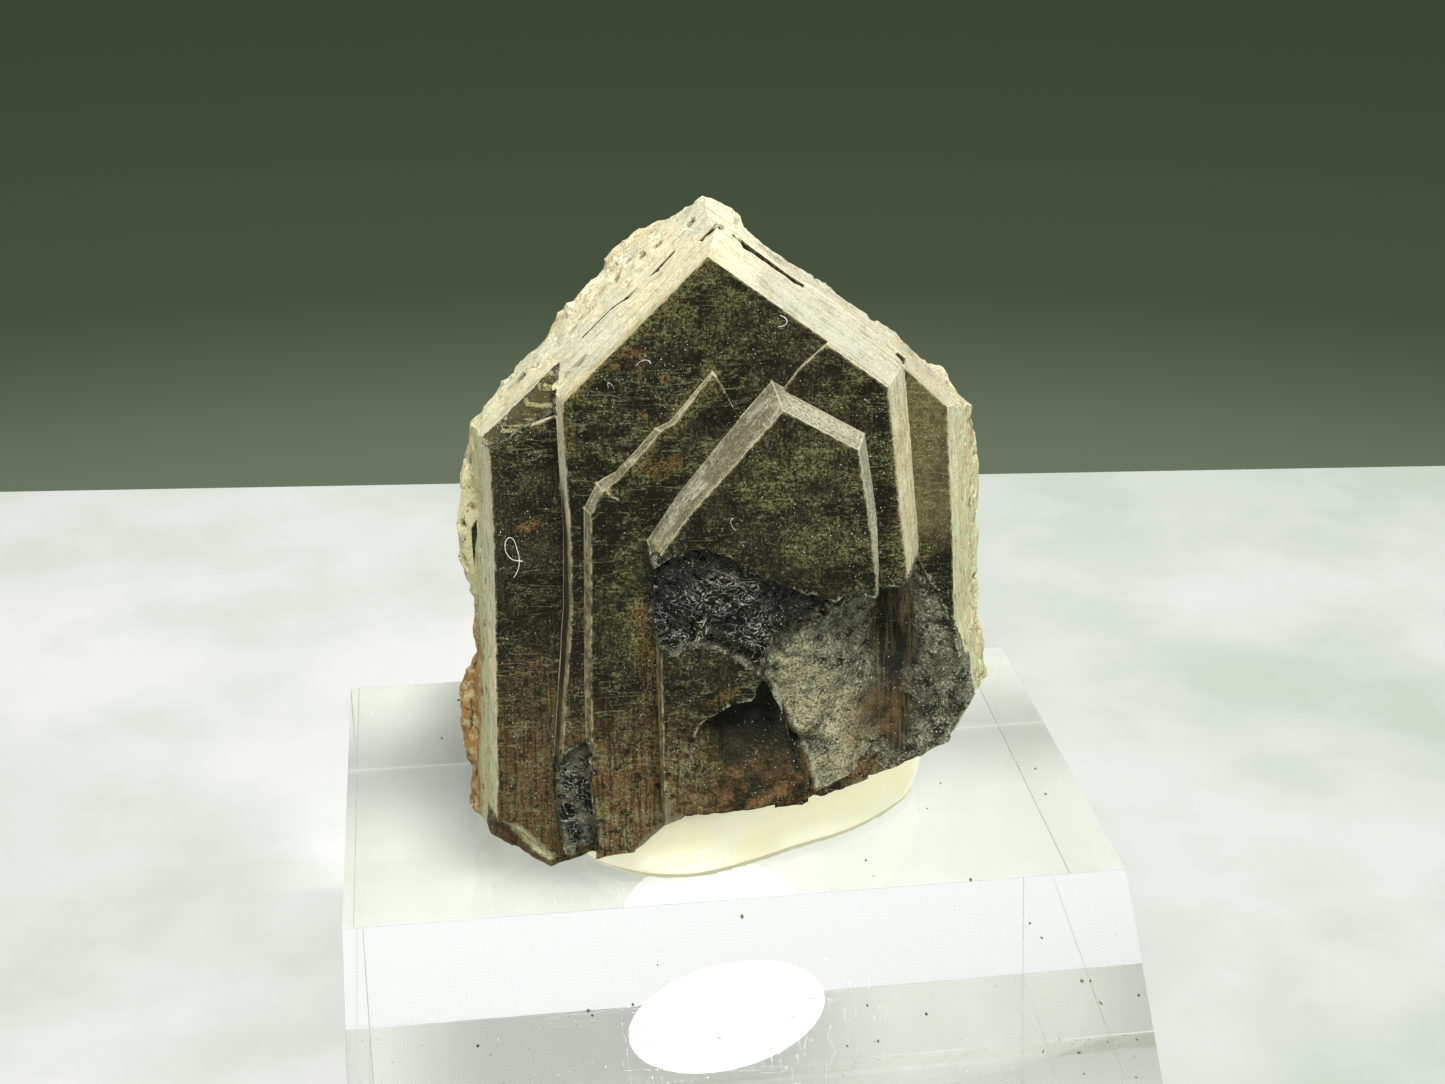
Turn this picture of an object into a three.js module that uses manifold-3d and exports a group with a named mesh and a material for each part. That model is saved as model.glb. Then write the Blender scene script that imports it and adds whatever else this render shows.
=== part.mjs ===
// Euxenite crystal on its clear display block, in millimetres, +Z up.
// The origin is the middle of the block's underside and -Y is the front.
import * as THREE from "three";
import Module from "manifold-3d";
import { mergeVertices } from "three/addons/utils/BufferGeometryUtils.js";

const wasm = await Module();
wasm.setup();

// ---- Driving dimensions ----

// Display block: a square acrylic offcut with a sloped front.
const BLOCK_WIDTH = 50;
const BLOCK_DEPTH = 50;
const BLOCK_HEIGHT = 17.3;
const SLOPE_RUN = 18;
const TOE_HEIGHT = 0.5;
const EASED_EDGE = 0.2;

// The crystal stands on a low tip at its left, turned a little on the block.
const TIP_X = -11.6;
const TIP_Y = -2.2;
const CRYSTAL_TURN = THREE.MathUtils.degToRad(-7.8);

// Clear space between pieces that rest on each other.
const REST_GAP = 0.3;
const FOOT_CLEARANCE = 0.1;

// Planes of the crystal's stepped front, measured out from the large base face.
const BASE_FACE = 0;
const MAIN_FACE = 2.4;
const RIGHT_STEP_FACE = 2.7;
const LEFT_STEP_FACE = 3.3;
const INNER_FACE = 4.6;
const FRONT_LIMIT = 8;
const TABLET_REACH = 60;

// Planes behind the base face: the end of the flaring rim, the widest part of
// the rough rear, and a plane that lies clear behind the whole crystal.
const RIM_END = -5;
const SHOULDER_PLANE = -8.5;
const BACK_LIMIT = -14;

// The main slab and the steps are rooted this far into what they grow on.
const ROOT_DEPTH = 0.6;

// Roughness of grown and broken surfaces: a coarse pattern with a finer one on it.
const COARSE_SHARE = 0.7;
const FINE_SHARE = 0.4;
const FINER = 2.3;
const FINE_SHIFT = 17;
const PATTERN_SHIFT = 40;

// Blending between the spots of a broken floor.
const SPOT_SOFTNESS = 0.4;
const SPOT_FALLOFF = 1.5;

// Outline corners whose edges turn less than this are moved straight out.
const NEARLY_IN_LINE = 0.25;

// Waviness of the layer cracks.
const CRACK_SEGMENTS = 6;
const CRACK_WAVES = 0.9;
const CRACK_SWAY = 0.6;
const CRACK_SEED = 3;
const CRACK_DEPTH_WAVES = 1.3;
const CRACK_DEPTH_SWAY = 0.5;
const CRACK_DEPTH_SEED = 9;

// ---- Growth frame of the crystal ----
// x runs across the tablet, y runs up it and z runs out of its large face.
// The tip that stands on the block is at the frame's origin.

// Corner points of the base terrace's face, anticlockwise from the tip.
// Each corner is [x, y, rim, rear]: how far the side face that leaves it moves
// outwards for each millimetre of depth, first on the rim and then behind it.
const BASE_OUTLINE = [
  [0.0, 0.1, -0.2, 0.0],
  [3.1, 1.5, -0.2, 0.0],
  [5.2, 2.8, -0.15, 0.0],
  [8.4, 4.6, -0.1, -0.1],
  [13.5, 5.0, -0.1, -0.1],
  [17.1, 5.5, -0.05, -0.1],
  [20.8, 7.4, 0.1, -0.2],
  [24.5, 9.0, 0.4, -0.3],
  [26.1, 12.2, 0.34, -0.25],
  [25.1, 17.3, 0.43, -0.2],
  [24.7, 23.4, 0.38, -0.2],
  [24.0, 31.9, 0.06, -0.4],
  [21.2, 34.7, 0.02, -0.5],
  [10.4, 42.5, 0.2, 0.05],
  [1.2, 33.5, 0.2, -0.1],
  [-2.9, 29.3, 0.34, -0.12],
  [-2.9, 22.0, 0.42, -0.12],
  [-3.3, 8.0, 0.4, -0.12],
  [-3.6, 2.4, 0.3, 0.0],
];

// Main terrace, the gabled slab on the base face.
const MAIN_OUTLINE = [
  [1.2, 2.9, 0.25],
  [3.2, 2.9, 0.0],
  [5.3, 3.2, 0.0],
  [5.9, 3.6, 0.0],
  [6.8, 4.5, 0.0],
  [7.8, 5.4, 0.0],
  [12.0, 5.9, 0.0],
  [15.8, 6.6, 0.0],
  [18.7, 7.9, 0.0],
  [21.6, 9.6, 0.3],
  [21.9, 21.6, 0.36],
  [21.4, 25.0, 0.42],
  [20.3, 34.1, 0.42],
  [10.0, 41.6, 0.14],
  [1.7, 33.0, 0.24],
  [2.0, 24.0, 0.26],
  [1.9, 19.2, 0.26],
  [1.4, 14.0, 0.25],
  [0.9, 8.0, 0.25],
];

// Left step: a thin wedge of growth that fades into the main face.
const LEFT_STEP_OUTLINE = [
  [2.8, 3.0, 0.0],
  [5.4, 3.3, 0.0],
  [6.5, 4.4, 0.0],
  [7.8, 5.7, 0.0],
  [12.2, 6.2, 0.0],
  [12.2, 31.6, 0.0],
  [11.2, 33.4, 0.5],
  [10.3, 34.3, 0.5],
  [8.4, 31.9, 0.3],
  [7.6, 31.5, 0.5],
  [4.9, 28.5, 0.5],
  [3.9, 27.8, 0.5],
  [3.2, 26.4, 0.5],
  [3.0, 18.0, 0.5],
];

// The left step loses its height between these two places across the tablet.
const LEFT_STEP_FADE = [3.0, 12.2];

// The right step's line, from the roof edge down to the inner terrace. The main
// face is lower everywhere to the left of it.
const RIGHT_STEP_LINE = [
  [16.9, 36.8],
  [15.3, 35.3],
  [14.1, 33.6],
];

// Inner terrace, the small gabled slab in the middle.
const INNER_OUTLINE = [
  [7.4, 6.2, 0.0],
  [8.6, 6.9, 0.0],
  [11.8, 7.0, 0.0],
  [16.6, 7.9, 0.0],
  [19.6, 12.0, 0.0],
  [19.9, 22.7, 0.25],
  [19.2, 27.4, 0.25],
  [18.6, 31.0, 0.25],
  [14.3, 33.4, 0.5],
  [9.0, 27.0, 0.5],
  [6.9, 23.9, 0.25],
  [7.2, 19.0, 0.2],
  [7.3, 12.0, 0.2],
];

// Broken places. Each has an edge on the face, spots [x, y, z] that the broken
// floor passes through, the size of its grid and how rough it is.
const LOWER_RIGHT_BREAK = {
  edge: [
    [16.4, 4.0],
    [16.1, 8.6],
    [15.2, 11.4],
    [14.3, 14.6],
    [13.4, 16.8],
    [13.9, 19.0],
    [15.4, 20.0],
    [17.2, 21.2],
    [18.7, 22.4],
    [19.6, 21.7],
    [21.4, 21.4],
    [22.6, 22.3],
    [24.0, 20.0],
    [24.9, 17.5],
    [25.6, 15.0],
    [29.0, 12.0],
    [29.0, 4.0],
  ],
  floor: [
    [14.2, 17.0, 3.4],
    [15.2, 18.6, 3.1],
    [17.4, 20.0, 2.2],
    [19.0, 20.6, 0.2],
    [21.0, 20.4, -1.2],
    [20.6, 16.0, -0.9],
    [17.0, 16.0, 2.2],
    [15.6, 12.8, 2.6],
    [17.4, 9.0, 1.8],
    [19.4, 12.6, 0.6],
    [21.6, 10.2, -0.4],
    [23.4, 17.6, -0.2],
    [23.6, 13.0, -0.6],
    [25.6, 13.2, -0.7],
    [24.6, 9.8, -1.2],
  ],
  cell: 0.85,
  rough: 0.3,
};
const GLASSY_BREAK = {
  edge: [
    [6.5, 23.4],
    [8.0, 24.4],
    [9.8, 24.9],
    [11.3, 24.2],
    [13.3, 22.9],
    [16.0, 22.0],
    [17.6, 21.4],
    [16.4, 20.4],
    [13.9, 18.8],
    [13.2, 16.6],
    [12.0, 17.4],
    [10.4, 18.4],
    [8.8, 18.4],
    [7.9, 17.8],
    [6.7, 18.8],
  ],
  floor: [
    [7.2, 21.0, 3.9],
    [9.6, 22.6, 4.1],
    [11.0, 20.4, 3.7],
    [13.2, 20.6, 4.0],
    [12.2, 18.2, 4.0],
    [16.2, 21.2, 4.2],
  ],
  cell: 0.7,
  rough: 0.28,
};
const RED_PLATE = {
  edge: [
    [9.4, 13.2],
    [11.3, 14.6],
    [12.6, 14.9],
    [13.3, 16.3],
    [14.2, 14.7],
    [16.4, 9.0],
    [17.4, 3.0],
    [9.0, 3.0],
    [8.4, 9.0],
  ],
  floor: [
    [11.6, 13.6, 2.6],
    [13.4, 14.2, 2.5],
    [9.6, 12.4, 4.3],
    [12.6, 11.6, 3.4],
    [12.0, 8.6, 4.1],
    [15.4, 8.4, 3.6],
    [9.0, 9.0, 4.5],
    [9.4, 5.6, 4.5],
  ],
  cell: 0.9,
  rough: 0.16,
};
const BLACK_CHIP = {
  edge: [
    [2.3, 10.9],
    [1.1, 9.9],
    [0.4, 8.0],
    [0.4, 4.6],
    [1.0, 3.2],
    [2.6, 1.6],
    [3.2, 4.0],
    [2.7, 8.0],
    [2.8, 11.0],
  ],
  floor: [
    [1.2, 9.0, 1.4],
    [2.6, 9.8, 1.9],
    [1.2, 5.8, 1.1],
    [2.6, 5.4, 1.7],
    [2.6, 3.4, 1.5],
  ],
  cell: 0.7,
  rough: 0.12,
};
const PALE_CHIP = {
  edge: [
    [-6.0, 3.6],
    [-3.2, 3.6],
    [-2.4, 3.4],
    [-0.6, 1.8],
    [0.6, 0.9],
    [3.0, 1.9],
    [3.4, -1.0],
    [-6.0, -1.0],
  ],
  floor: [
    [-3.2, 3.0, -0.4],
    [-1.2, 1.8, -0.35],
    [-2.6, 1.8, -0.8],
    [0.6, 0.2, -0.3],
  ],
  cell: 0.8,
  rough: 0.08,
};
const LEFT_CORNER_LEDGE = {
  edge: [
    [-5.0, 28.4],
    [-2.4, 29.5],
    [-0.6, 30.6],
    [1.1, 31.3],
    [0.9, 33.2],
    [0.6, 36.0],
    [-5.0, 36.0],
  ],
  floor: [
    [-2.6, 29.6, -0.3],
    [0.6, 31.6, -0.25],
    [-0.6, 32.2, -0.7],
    [1.0, 33.2, -0.6],
  ],
  cell: 0.9,
  rough: 0.06,
};

// Lumps on a broken floor are this many cells of its grid across.
const LUMP_CELLS = 2.6;

// Rough back of the crystal, where it broke from the rock.
const BACK = {
  edge: [
    [-10, -4],
    [32, -4],
    [32, 48],
    [-10, 48],
  ],
  floor: [
    [-4.6, 22.0, -7.6],
    [-3.6, 30.0, -7.0],
    [-4.8, 10.0, -7.8],
    [0.0, 3.0, -6.2],
    [3.5, 38.5, -9.6],
    [10.0, 43.0, -5.4],
    [15.0, 41.0, -4.2],
    [20.0, 36.5, -5.4],
    [25.0, 31.0, -6.0],
    [27.0, 20.0, -7.0],
    [26.6, 12.0, -6.0],
    [20.0, 8.0, -7.4],
    [12.0, 5.5, -8.0],
    [4.0, 16.0, -10.4],
    [12.0, 14.0, -11.2],
    [19.0, 20.0, -10.2],
    [7.0, 27.0, -11.4],
    [14.0, 31.0, -10.4],
  ],
  cell: 1.5,
  rough: 0.9,
};

// Lumps of matrix grown to the rear: centre, half sizes.
const LUMPS = [
  { at: [-3.6, 21.5, -6.4], half: [2.3, 6.8, 2.4] },
  { at: [-4.5, 7.6, -6.6], half: [1.7, 4.6, 2.2] },
  { at: [4.8, 35.6, -7.2], half: [2.4, 1.9, 2.2] },
  { at: [7.6, 39.0, -6.6], half: [2.2, 1.4, 2.0] },
  { at: [21.6, 29.4, -5.8], half: [3.0, 3.0, 2.0] },
];
const LUMP_DETAIL = 4;
const LUMP_ROUGHNESS = 0.35;
const LUMP_GRAIN = 0.8;

// Cracks along the growth layers: ends [x, y, z], opening and depth.
const LAYER_CRACKS = [
  { from: [9.2, 43.6, -0.3], to: [15.6, 39.2, -0.3], open: 0.35, deep: 1.1 },
  { from: [18.6, 37.7, -1.4], to: [21.5, 34.7, 0.0], open: 0.3, deep: 0.7 },
  { from: [7.6, 41.3, -1.9], to: [2.2, 35.8, -1.9], open: 0.25, deep: 0.8 },
];

// Sample spacing of the side faces and how uneven they are.
const SIDE_SPACING = 1.7;
const SIDE_ROUGHNESS = 0.45;
const SIDE_LUMP_SIZE = 2.6;
const MID_RIM_SHARE = 0.35;
const REAR_MIDDLE_SHARE = 1.4;
const REAR_SHARE = 1.6;

// Mineral tack: a pressed lump of putty, given by its footprint on the block
// and by the size of its section at shares of its height.
const TACK_FOOTPRINT = [
  [-9.2, -1.0],
  [-6.2, -3.6],
  [-3.0, -4.4],
  [0.3, -3.6],
  [4.5, -1.8],
  [7.6, -0.6],
  [10.6, 1.4],
  [12.8, 3.6],
  [13.6, 6.0],
  [11.6, 8.0],
  [5.0, 7.2],
  [-3.0, 4.6],
  [-8.4, 2.0],
];
const TACK_PROFILE = [
  [0.0, 1.0],
  [0.22, 1.045],
  [0.45, 1.04],
  [0.68, 0.97],
  [0.88, 0.8],
  [1.0, 0.5],
];
const TACK_SAMPLES = 44;
const TACK_HEIGHT_LEFT = 5.0;
const TACK_HEIGHT_RIGHT = 8.5;

// ---- Small tools for shapes ----

// Smooth noise from -1 to 1 with one random value at each whole point.
function latticeValue(ix, iy, iz) {
  let bits = Math.imul(ix, 374761393) ^ Math.imul(iy, 668265263) ^ Math.imul(iz, 362437);
  bits = Math.imul(bits ^ (bits >>> 13), 1274126177);
  bits ^= bits >>> 16;
  return ((bits >>> 0) / 4294967295) * 2 - 1;
}

function noise(x, y, z) {
  const cell = [x, y, z].map(Math.floor);
  const ease = [x, y, z].map((value, axis) => {
    const part = value - cell[axis];
    return part * part * (3 - 2 * part);
  });
  let sum = 0;
  for (let corner = 0; corner < 8; corner++) {
    const step = [corner & 1, (corner >> 1) & 1, (corner >> 2) & 1];
    const weight = step.reduce((w, s, axis) => w * (s ? ease[axis] : 1 - ease[axis]), 1);
    sum += weight * latticeValue(cell[0] + step[0], cell[1] + step[1], cell[2] + step[2]);
  }
  return sum;
}

// Lumps of the given size with finer ones on them.
function lumpy(x, y, z, size) {
  const coarse = noise(x / size, y / size, z / size);
  const fine = noise(x / size * FINER + FINE_SHIFT, y / size * FINER, z / size * FINER);
  return coarse * COARSE_SHARE + fine * FINE_SHARE;
}

function toSolid(geometry) {
  geometry.deleteAttribute("normal");
  geometry.deleteAttribute("uv");
  const merged = mergeVertices(geometry, 1e-4);
  return new wasm.Manifold(new wasm.Mesh({
    numProp: 3,
    vertProperties: new Float32Array(merged.attributes.position.array),
    triVerts: new Uint32Array(merged.index.array),
  }));
}

function toGeometry(solid) {
  const { vertProperties, triVerts } = solid.getMesh();
  const geometry = new THREE.BufferGeometry();
  geometry.setAttribute("position", new THREE.BufferAttribute(vertProperties, 3));
  geometry.setIndex(new THREE.BufferAttribute(triVerts, 1));
  geometry.computeVertexNormals();
  return geometry;
}

function movePoints(geometry, rule) {
  const position = geometry.attributes.position;
  const point = new THREE.Vector3();
  for (let i = 0; i < position.count; i++) {
    point.fromBufferAttribute(position, i);
    rule(point);
    position.setXYZ(i, point.x, point.y, point.z);
  }
  return geometry;
}

function shapeOf(points) {
  return new THREE.Shape(points.map(([x, y]) => new THREE.Vector2(x, y)));
}

// Moves each edge of an outline outwards by its own amount. A corner goes to
// where its two moved edges meet, or straight out where they are nearly in line.
function spreadOutline(outline, depth, rearDepth = 0) {
  const edges = outline.map(([x, y, rim, rear = 0], i) => {
    const [nextX, nextY] = outline[(i + 1) % outline.length];
    const length = Math.hypot(nextX - x, nextY - y);
    const normal = [(nextY - y) / length, (x - nextX) / length];
    return { normal, level: normal[0] * x + normal[1] * y + rim * depth + rear * rearDepth };
  });
  return outline.map(([x, y], i) => {
    const before = edges[(i + outline.length - 1) % outline.length];
    const after = edges[i];
    const cross = before.normal[0] * after.normal[1] - before.normal[1] * after.normal[0];
    if (Math.abs(cross) < NEARLY_IN_LINE) {
      const mean = [before.normal[0] + after.normal[0], before.normal[1] + after.normal[1]];
      const length = Math.hypot(...mean);
      const along = (mean[0] * x + mean[1] * y) / length;
      const shift = (before.level + after.level) / 2 - along;
      return [x + mean[0] / length * shift, y + mean[1] / length * shift];
    }
    return [
      (before.level * after.normal[1] - after.level * before.normal[1]) / cross,
      (after.level * before.normal[0] - before.level * after.normal[0]) / cross,
    ];
  });
}

// Adds evenly spaced points along every edge; counts come from the first outline.
function samplePoints(corners, counts) {
  return corners.flatMap(([x, y], i) => {
    const [nextX, nextY] = corners[(i + 1) % corners.length];
    return Array.from({ length: counts[i] }, (_, k) => {
      const part = k / counts[i];
      return [x + (nextX - x) * part, y + (nextY - y) * part];
    });
  });
}

// A solid through a stack of rings that have the same number of points.
// Each ring is { points, z }, from the rear to the front.
function loft(rings) {
  const base = rings[rings.length - 1].points;
  const key = (x, y) => `${x.toFixed(3)},${y.toFixed(3)}`;
  const indexOf = new Map(base.map(([x, y], i) => [key(x, y), i]));
  const steps = rings.length - 1;
  const geometry = new THREE.ExtrudeGeometry(shapeOf(base), { depth: steps, steps, bevelEnabled: false });
  movePoints(geometry, (point) => {
    const ring = rings[Math.round(point.z)];
    const target = ring.points[indexOf.get(key(point.x, point.y))];
    point.set(target[0], target[1], ring.z);
  });
  return toSolid(geometry);
}

// A terrace with a flat front and side faces that flare out to the rear.
function terrace(outline, front, rear) {
  return loft([
    { points: spreadOutline(outline, front - rear), z: rear },
    { points: outline.map(([x, y]) => [x, y]), z: front },
  ]);
}

// Height of a broken floor: a smooth surface through its spots.
function floorHeight(spots, x, y) {
  let total = 0;
  let sum = 0;
  for (const [spotX, spotY, spotZ] of spots) {
    const weight = 1 / ((x - spotX) ** 2 + (y - spotY) ** 2 + SPOT_SOFTNESS) ** SPOT_FALLOFF;
    total += weight;
    sum += weight * spotZ;
  }
  return sum / total;
}

// A cutting block with a rough floor, limited to the break's edge. It reaches
// from the floor out to a plane in front of the crystal or behind it.
function breakCutter(place, outerPlane) {
  const xs = place.edge.map(([x]) => x);
  const ys = place.edge.map(([, y]) => y);
  const [minX, maxX, minY, maxY] = [Math.min(...xs), Math.max(...xs), Math.min(...ys), Math.max(...ys)];
  const across = Math.ceil((maxX - minX) / place.cell) + 2;
  const up = Math.ceil((maxY - minY) / place.cell) + 2;
  const block = new THREE.BoxGeometry(across * place.cell, up * place.cell, 1, across, up, 1);
  block.translate((minX + maxX) / 2, (minY + maxY) / 2, 0);
  const lumpSize = place.cell * LUMP_CELLS;
  movePoints(block, (point) => {
    if (point.z * outerPlane > 0) {
      point.z = outerPlane;
    } else {
      const bump = lumpy(point.x, point.y, 0, lumpSize) * place.rough;
      point.z = floorHeight(place.floor, point.x, point.y) + bump;
    }
  });
  const prism = new THREE.ExtrudeGeometry(shapeOf(place.edge), { depth: TABLET_REACH, bevelEnabled: false });
  prism.translate(0, 0, -TABLET_REACH / 2);
  return toSolid(block).intersect(toSolid(prism));
}

function lump({ at, half }) {
  const ball = new THREE.IcosahedronGeometry(1, LUMP_DETAIL);
  movePoints(ball, (point) => {
    const size = 1 + lumpy(point.x + at[0], point.y + at[1], point.z + at[2], LUMP_GRAIN) * LUMP_ROUGHNESS;
    point.set(
      at[0] + point.x * half[0] * size,
      at[1] + point.y * half[1] * size,
      at[2] + point.z * half[2] * size,
    );
  });
  return toSolid(ball);
}

// A thin blade that cuts a crack along a growth layer.
function crackBlade({ from, to, open, deep }) {
  const start = new THREE.Vector3(...from);
  const end = new THREE.Vector3(...to);
  const blade = new THREE.BoxGeometry(start.distanceTo(end), deep * 2, open, CRACK_SEGMENTS, 1, 1);
  movePoints(blade, (point) => {
    point.z += noise(point.x * CRACK_WAVES, CRACK_SEED, from[2]) * open * CRACK_SWAY;
    point.y += noise(point.x * CRACK_DEPTH_WAVES, CRACK_DEPTH_SEED, from[1]) * deep * CRACK_DEPTH_SWAY;
  });
  const along = end.clone().sub(start).normalize();
  const out = new THREE.Vector3(0, 0, 1).addScaledVector(along, -along.z).normalize();
  const side = out.clone().cross(along);
  const frame = new THREE.Matrix4().makeBasis(along, side, out);
  frame.setPosition(start.add(end).multiplyScalar(0.5));
  blade.applyMatrix4(frame);
  return toSolid(blade);
}

// ---- The crystal ----

// Base tablet: flat front, flaring rim, then uneven sides towards the back.
function baseTablet() {
  const counts = BASE_OUTLINE.map(([x, y], i) => {
    const [nextX, nextY] = BASE_OUTLINE[(i + 1) % BASE_OUTLINE.length];
    return Math.max(1, Math.round(Math.hypot(nextX - x, nextY - y) / SIDE_SPACING));
  });
  const ring = (z, roughness) => {
    const rimDepth = Math.min(-z, -RIM_END);
    const corners = spreadOutline(BASE_OUTLINE, rimDepth, -z - rimDepth);
    return {
      z,
      points: samplePoints(corners, counts).map(([x, y]) => [
        x + lumpy(x, y, z, SIDE_LUMP_SIZE) * roughness,
        y + lumpy(x + PATTERN_SHIFT, y, z, SIDE_LUMP_SIZE) * roughness,
      ]),
    };
  };
  return loft([
    ring(BACK_LIMIT, SIDE_ROUGHNESS * REAR_SHARE),
    ring(SHOULDER_PLANE, SIDE_ROUGHNESS * REAR_SHARE),
    ring((RIM_END + SHOULDER_PLANE) / 2, SIDE_ROUGHNESS * REAR_MIDDLE_SHARE),
    ring(RIM_END, SIDE_ROUGHNESS),
    ring(RIM_END / 2, SIDE_ROUGHNESS * MID_RIM_SHARE),
    ring(BASE_FACE, 0),
  ]);
}

// The left step is flat but tilted, so that it dies out towards the right.
function leftStep() {
  const [left, right] = LEFT_STEP_FADE;
  const above = new THREE.BoxGeometry(TABLET_REACH, 2 * TABLET_REACH, TABLET_REACH);
  movePoints(above, (point) => {
    const part = (point.x - left) / (right - left);
    const face = LEFT_STEP_FACE + (MAIN_FACE - LEFT_STEP_FACE) * part;
    point.z = point.z > 0 ? TABLET_REACH : face;
  });
  return terrace(LEFT_STEP_OUTLINE, LEFT_STEP_FACE, MAIN_FACE - ROOT_DEPTH).subtract(toSolid(above));
}

// The main face left of the right step's line is a little lower.
function mainSlab() {
  const [roofEnd, , innerEnd] = RIGHT_STEP_LINE;
  const lowered = new THREE.ExtrudeGeometry(shapeOf([
    ...RIGHT_STEP_LINE,
    [innerEnd[0], -TABLET_REACH],
    [-TABLET_REACH, -TABLET_REACH],
    [-TABLET_REACH, TABLET_REACH],
    [roofEnd[0], TABLET_REACH],
  ]), { depth: FRONT_LIMIT, bevelEnabled: false });
  lowered.translate(0, 0, MAIN_FACE);
  return terrace(MAIN_OUTLINE, RIGHT_STEP_FACE, BASE_FACE - ROOT_DEPTH).subtract(toSolid(lowered));
}

function crystalSolid() {
  let solid = baseTablet()
    .add(mainSlab())
    .add(leftStep())
    .add(terrace(INNER_OUTLINE, INNER_FACE, MAIN_FACE - ROOT_DEPTH));
  for (const piece of LUMPS) {
    solid = solid.add(lump(piece));
  }
  solid = solid.subtract(breakCutter(BACK, -TABLET_REACH / 2));
  const fronts = [
    LOWER_RIGHT_BREAK,
    GLASSY_BREAK,
    RED_PLATE,
    BLACK_CHIP,
    PALE_CHIP,
    LEFT_CORNER_LEDGE,
  ];
  for (const place of fronts) {
    solid = solid.subtract(breakCutter(place, FRONT_LIMIT));
  }
  for (const crack of LAYER_CRACKS) {
    solid = solid.subtract(crackBlade(crack));
  }
  const below = new THREE.BoxGeometry(2 * TABLET_REACH, TABLET_REACH, 2 * TABLET_REACH);
  below.translate(0, FOOT_CLEARANCE - TABLET_REACH / 2, 0);
  return solid.subtract(toSolid(below));
}

// ---- The tack ----

// The footprint as a smooth closed curve, raised to a rounded mound that is
// higher on the right, then pressed down by the crystal.
function tackSolid(crystalInPlace) {
  const curve = new THREE.CatmullRomCurve3(
    TACK_FOOTPRINT.map(([x, y]) => new THREE.Vector3(x, y, 0)), true);
  const foot = curve.getPoints(TACK_SAMPLES).slice(0, TACK_SAMPLES);
  const middle = foot.reduce((sum, p) => sum.add(p), new THREE.Vector3()).divideScalar(TACK_SAMPLES);
  const rings = TACK_PROFILE.map(([rise, size]) => ({
    points: foot.map((p) => [middle.x + (p.x - middle.x) * size, middle.y + (p.y - middle.y) * size]),
    z: rise,
  }));
  const mound = toGeometry(loft(rings));
  const xs = TACK_FOOTPRINT.map(([x]) => x);
  const [left, right] = [Math.min(...xs), Math.max(...xs)];
  movePoints(mound, (point) => {
    const part = (point.x - left) / (right - left);
    const height = TACK_HEIGHT_LEFT + (TACK_HEIGHT_RIGHT - TACK_HEIGHT_LEFT) * part;
    point.z = BLOCK_HEIGHT + point.z * height;
  });
  const spacer = toGeometry(crystalInPlace).translate(0, 0, -REST_GAP);
  return toSolid(mound).subtract(toSolid(spacer)).subtract(crystalInPlace);
}

// ---- The block ----

// Side profile pulled through the width, with every edge slightly eased.
function blockGeometry() {
  const back = BLOCK_DEPTH / 2;
  const front = -BLOCK_DEPTH / 2;
  const slopeTop = front + SLOPE_RUN;
  const profile = shapeOf([
    [front, 0],
    [back, 0],
    [back, BLOCK_HEIGHT],
    [slopeTop, BLOCK_HEIGHT],
    [front, TOE_HEIGHT],
  ]);
  const geometry = new THREE.ExtrudeGeometry(profile, {
    depth: BLOCK_WIDTH - 2 * EASED_EDGE,
    bevelThickness: EASED_EDGE,
    bevelSize: EASED_EDGE,
    bevelOffset: -EASED_EDGE,
    bevelSegments: 1,
  });
  geometry.translate(0, 0, EASED_EDGE - BLOCK_WIDTH / 2);
  geometry.rotateY(Math.PI / 2);
  geometry.rotateX(Math.PI / 2);
  return geometry;
}

// ---- Materials ----

const euxenite = new THREE.MeshStandardMaterial({ color: 0x2b261d, roughness: 0.55, metalness: 0 });
const tack = new THREE.MeshStandardMaterial({ color: 0xede9b8, roughness: 0.4, metalness: 0 });
const acrylic = new THREE.MeshStandardMaterial({
  color: 0xe9f1ea,
  roughness: 0.05,
  metalness: 0,
  transparent: true,
  opacity: 0.35,
});

// ---- Assembly ----

const crystal = new THREE.Mesh(toGeometry(crystalSolid()), euxenite);
crystal.name = "crystal";
crystal.rotation.x = Math.PI / 2;

const stand = new THREE.Group();
stand.position.set(TIP_X, TIP_Y, BLOCK_HEIGHT);
stand.rotation.z = CRYSTAL_TURN;
stand.add(crystal);

const part = new THREE.Group();
part.add(stand);
part.updateMatrixWorld(true);

const crystalInPlace = toSolid(crystal.geometry.clone().applyMatrix4(crystal.matrixWorld));
const mineralTack = new THREE.Mesh(toGeometry(tackSolid(crystalInPlace)), tack);
mineralTack.name = "mineral_tack";

const displayBlock = new THREE.Mesh(blockGeometry(), acrylic);
displayBlock.name = "display_block";
part.add(mineralTack, displayBlock);

export default part;
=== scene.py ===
import math

import bmesh
import bpy
import numpy as np
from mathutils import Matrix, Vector
from mathutils.bvhtree import BVHTree
from mathutils.kdtree import KDTree


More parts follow.
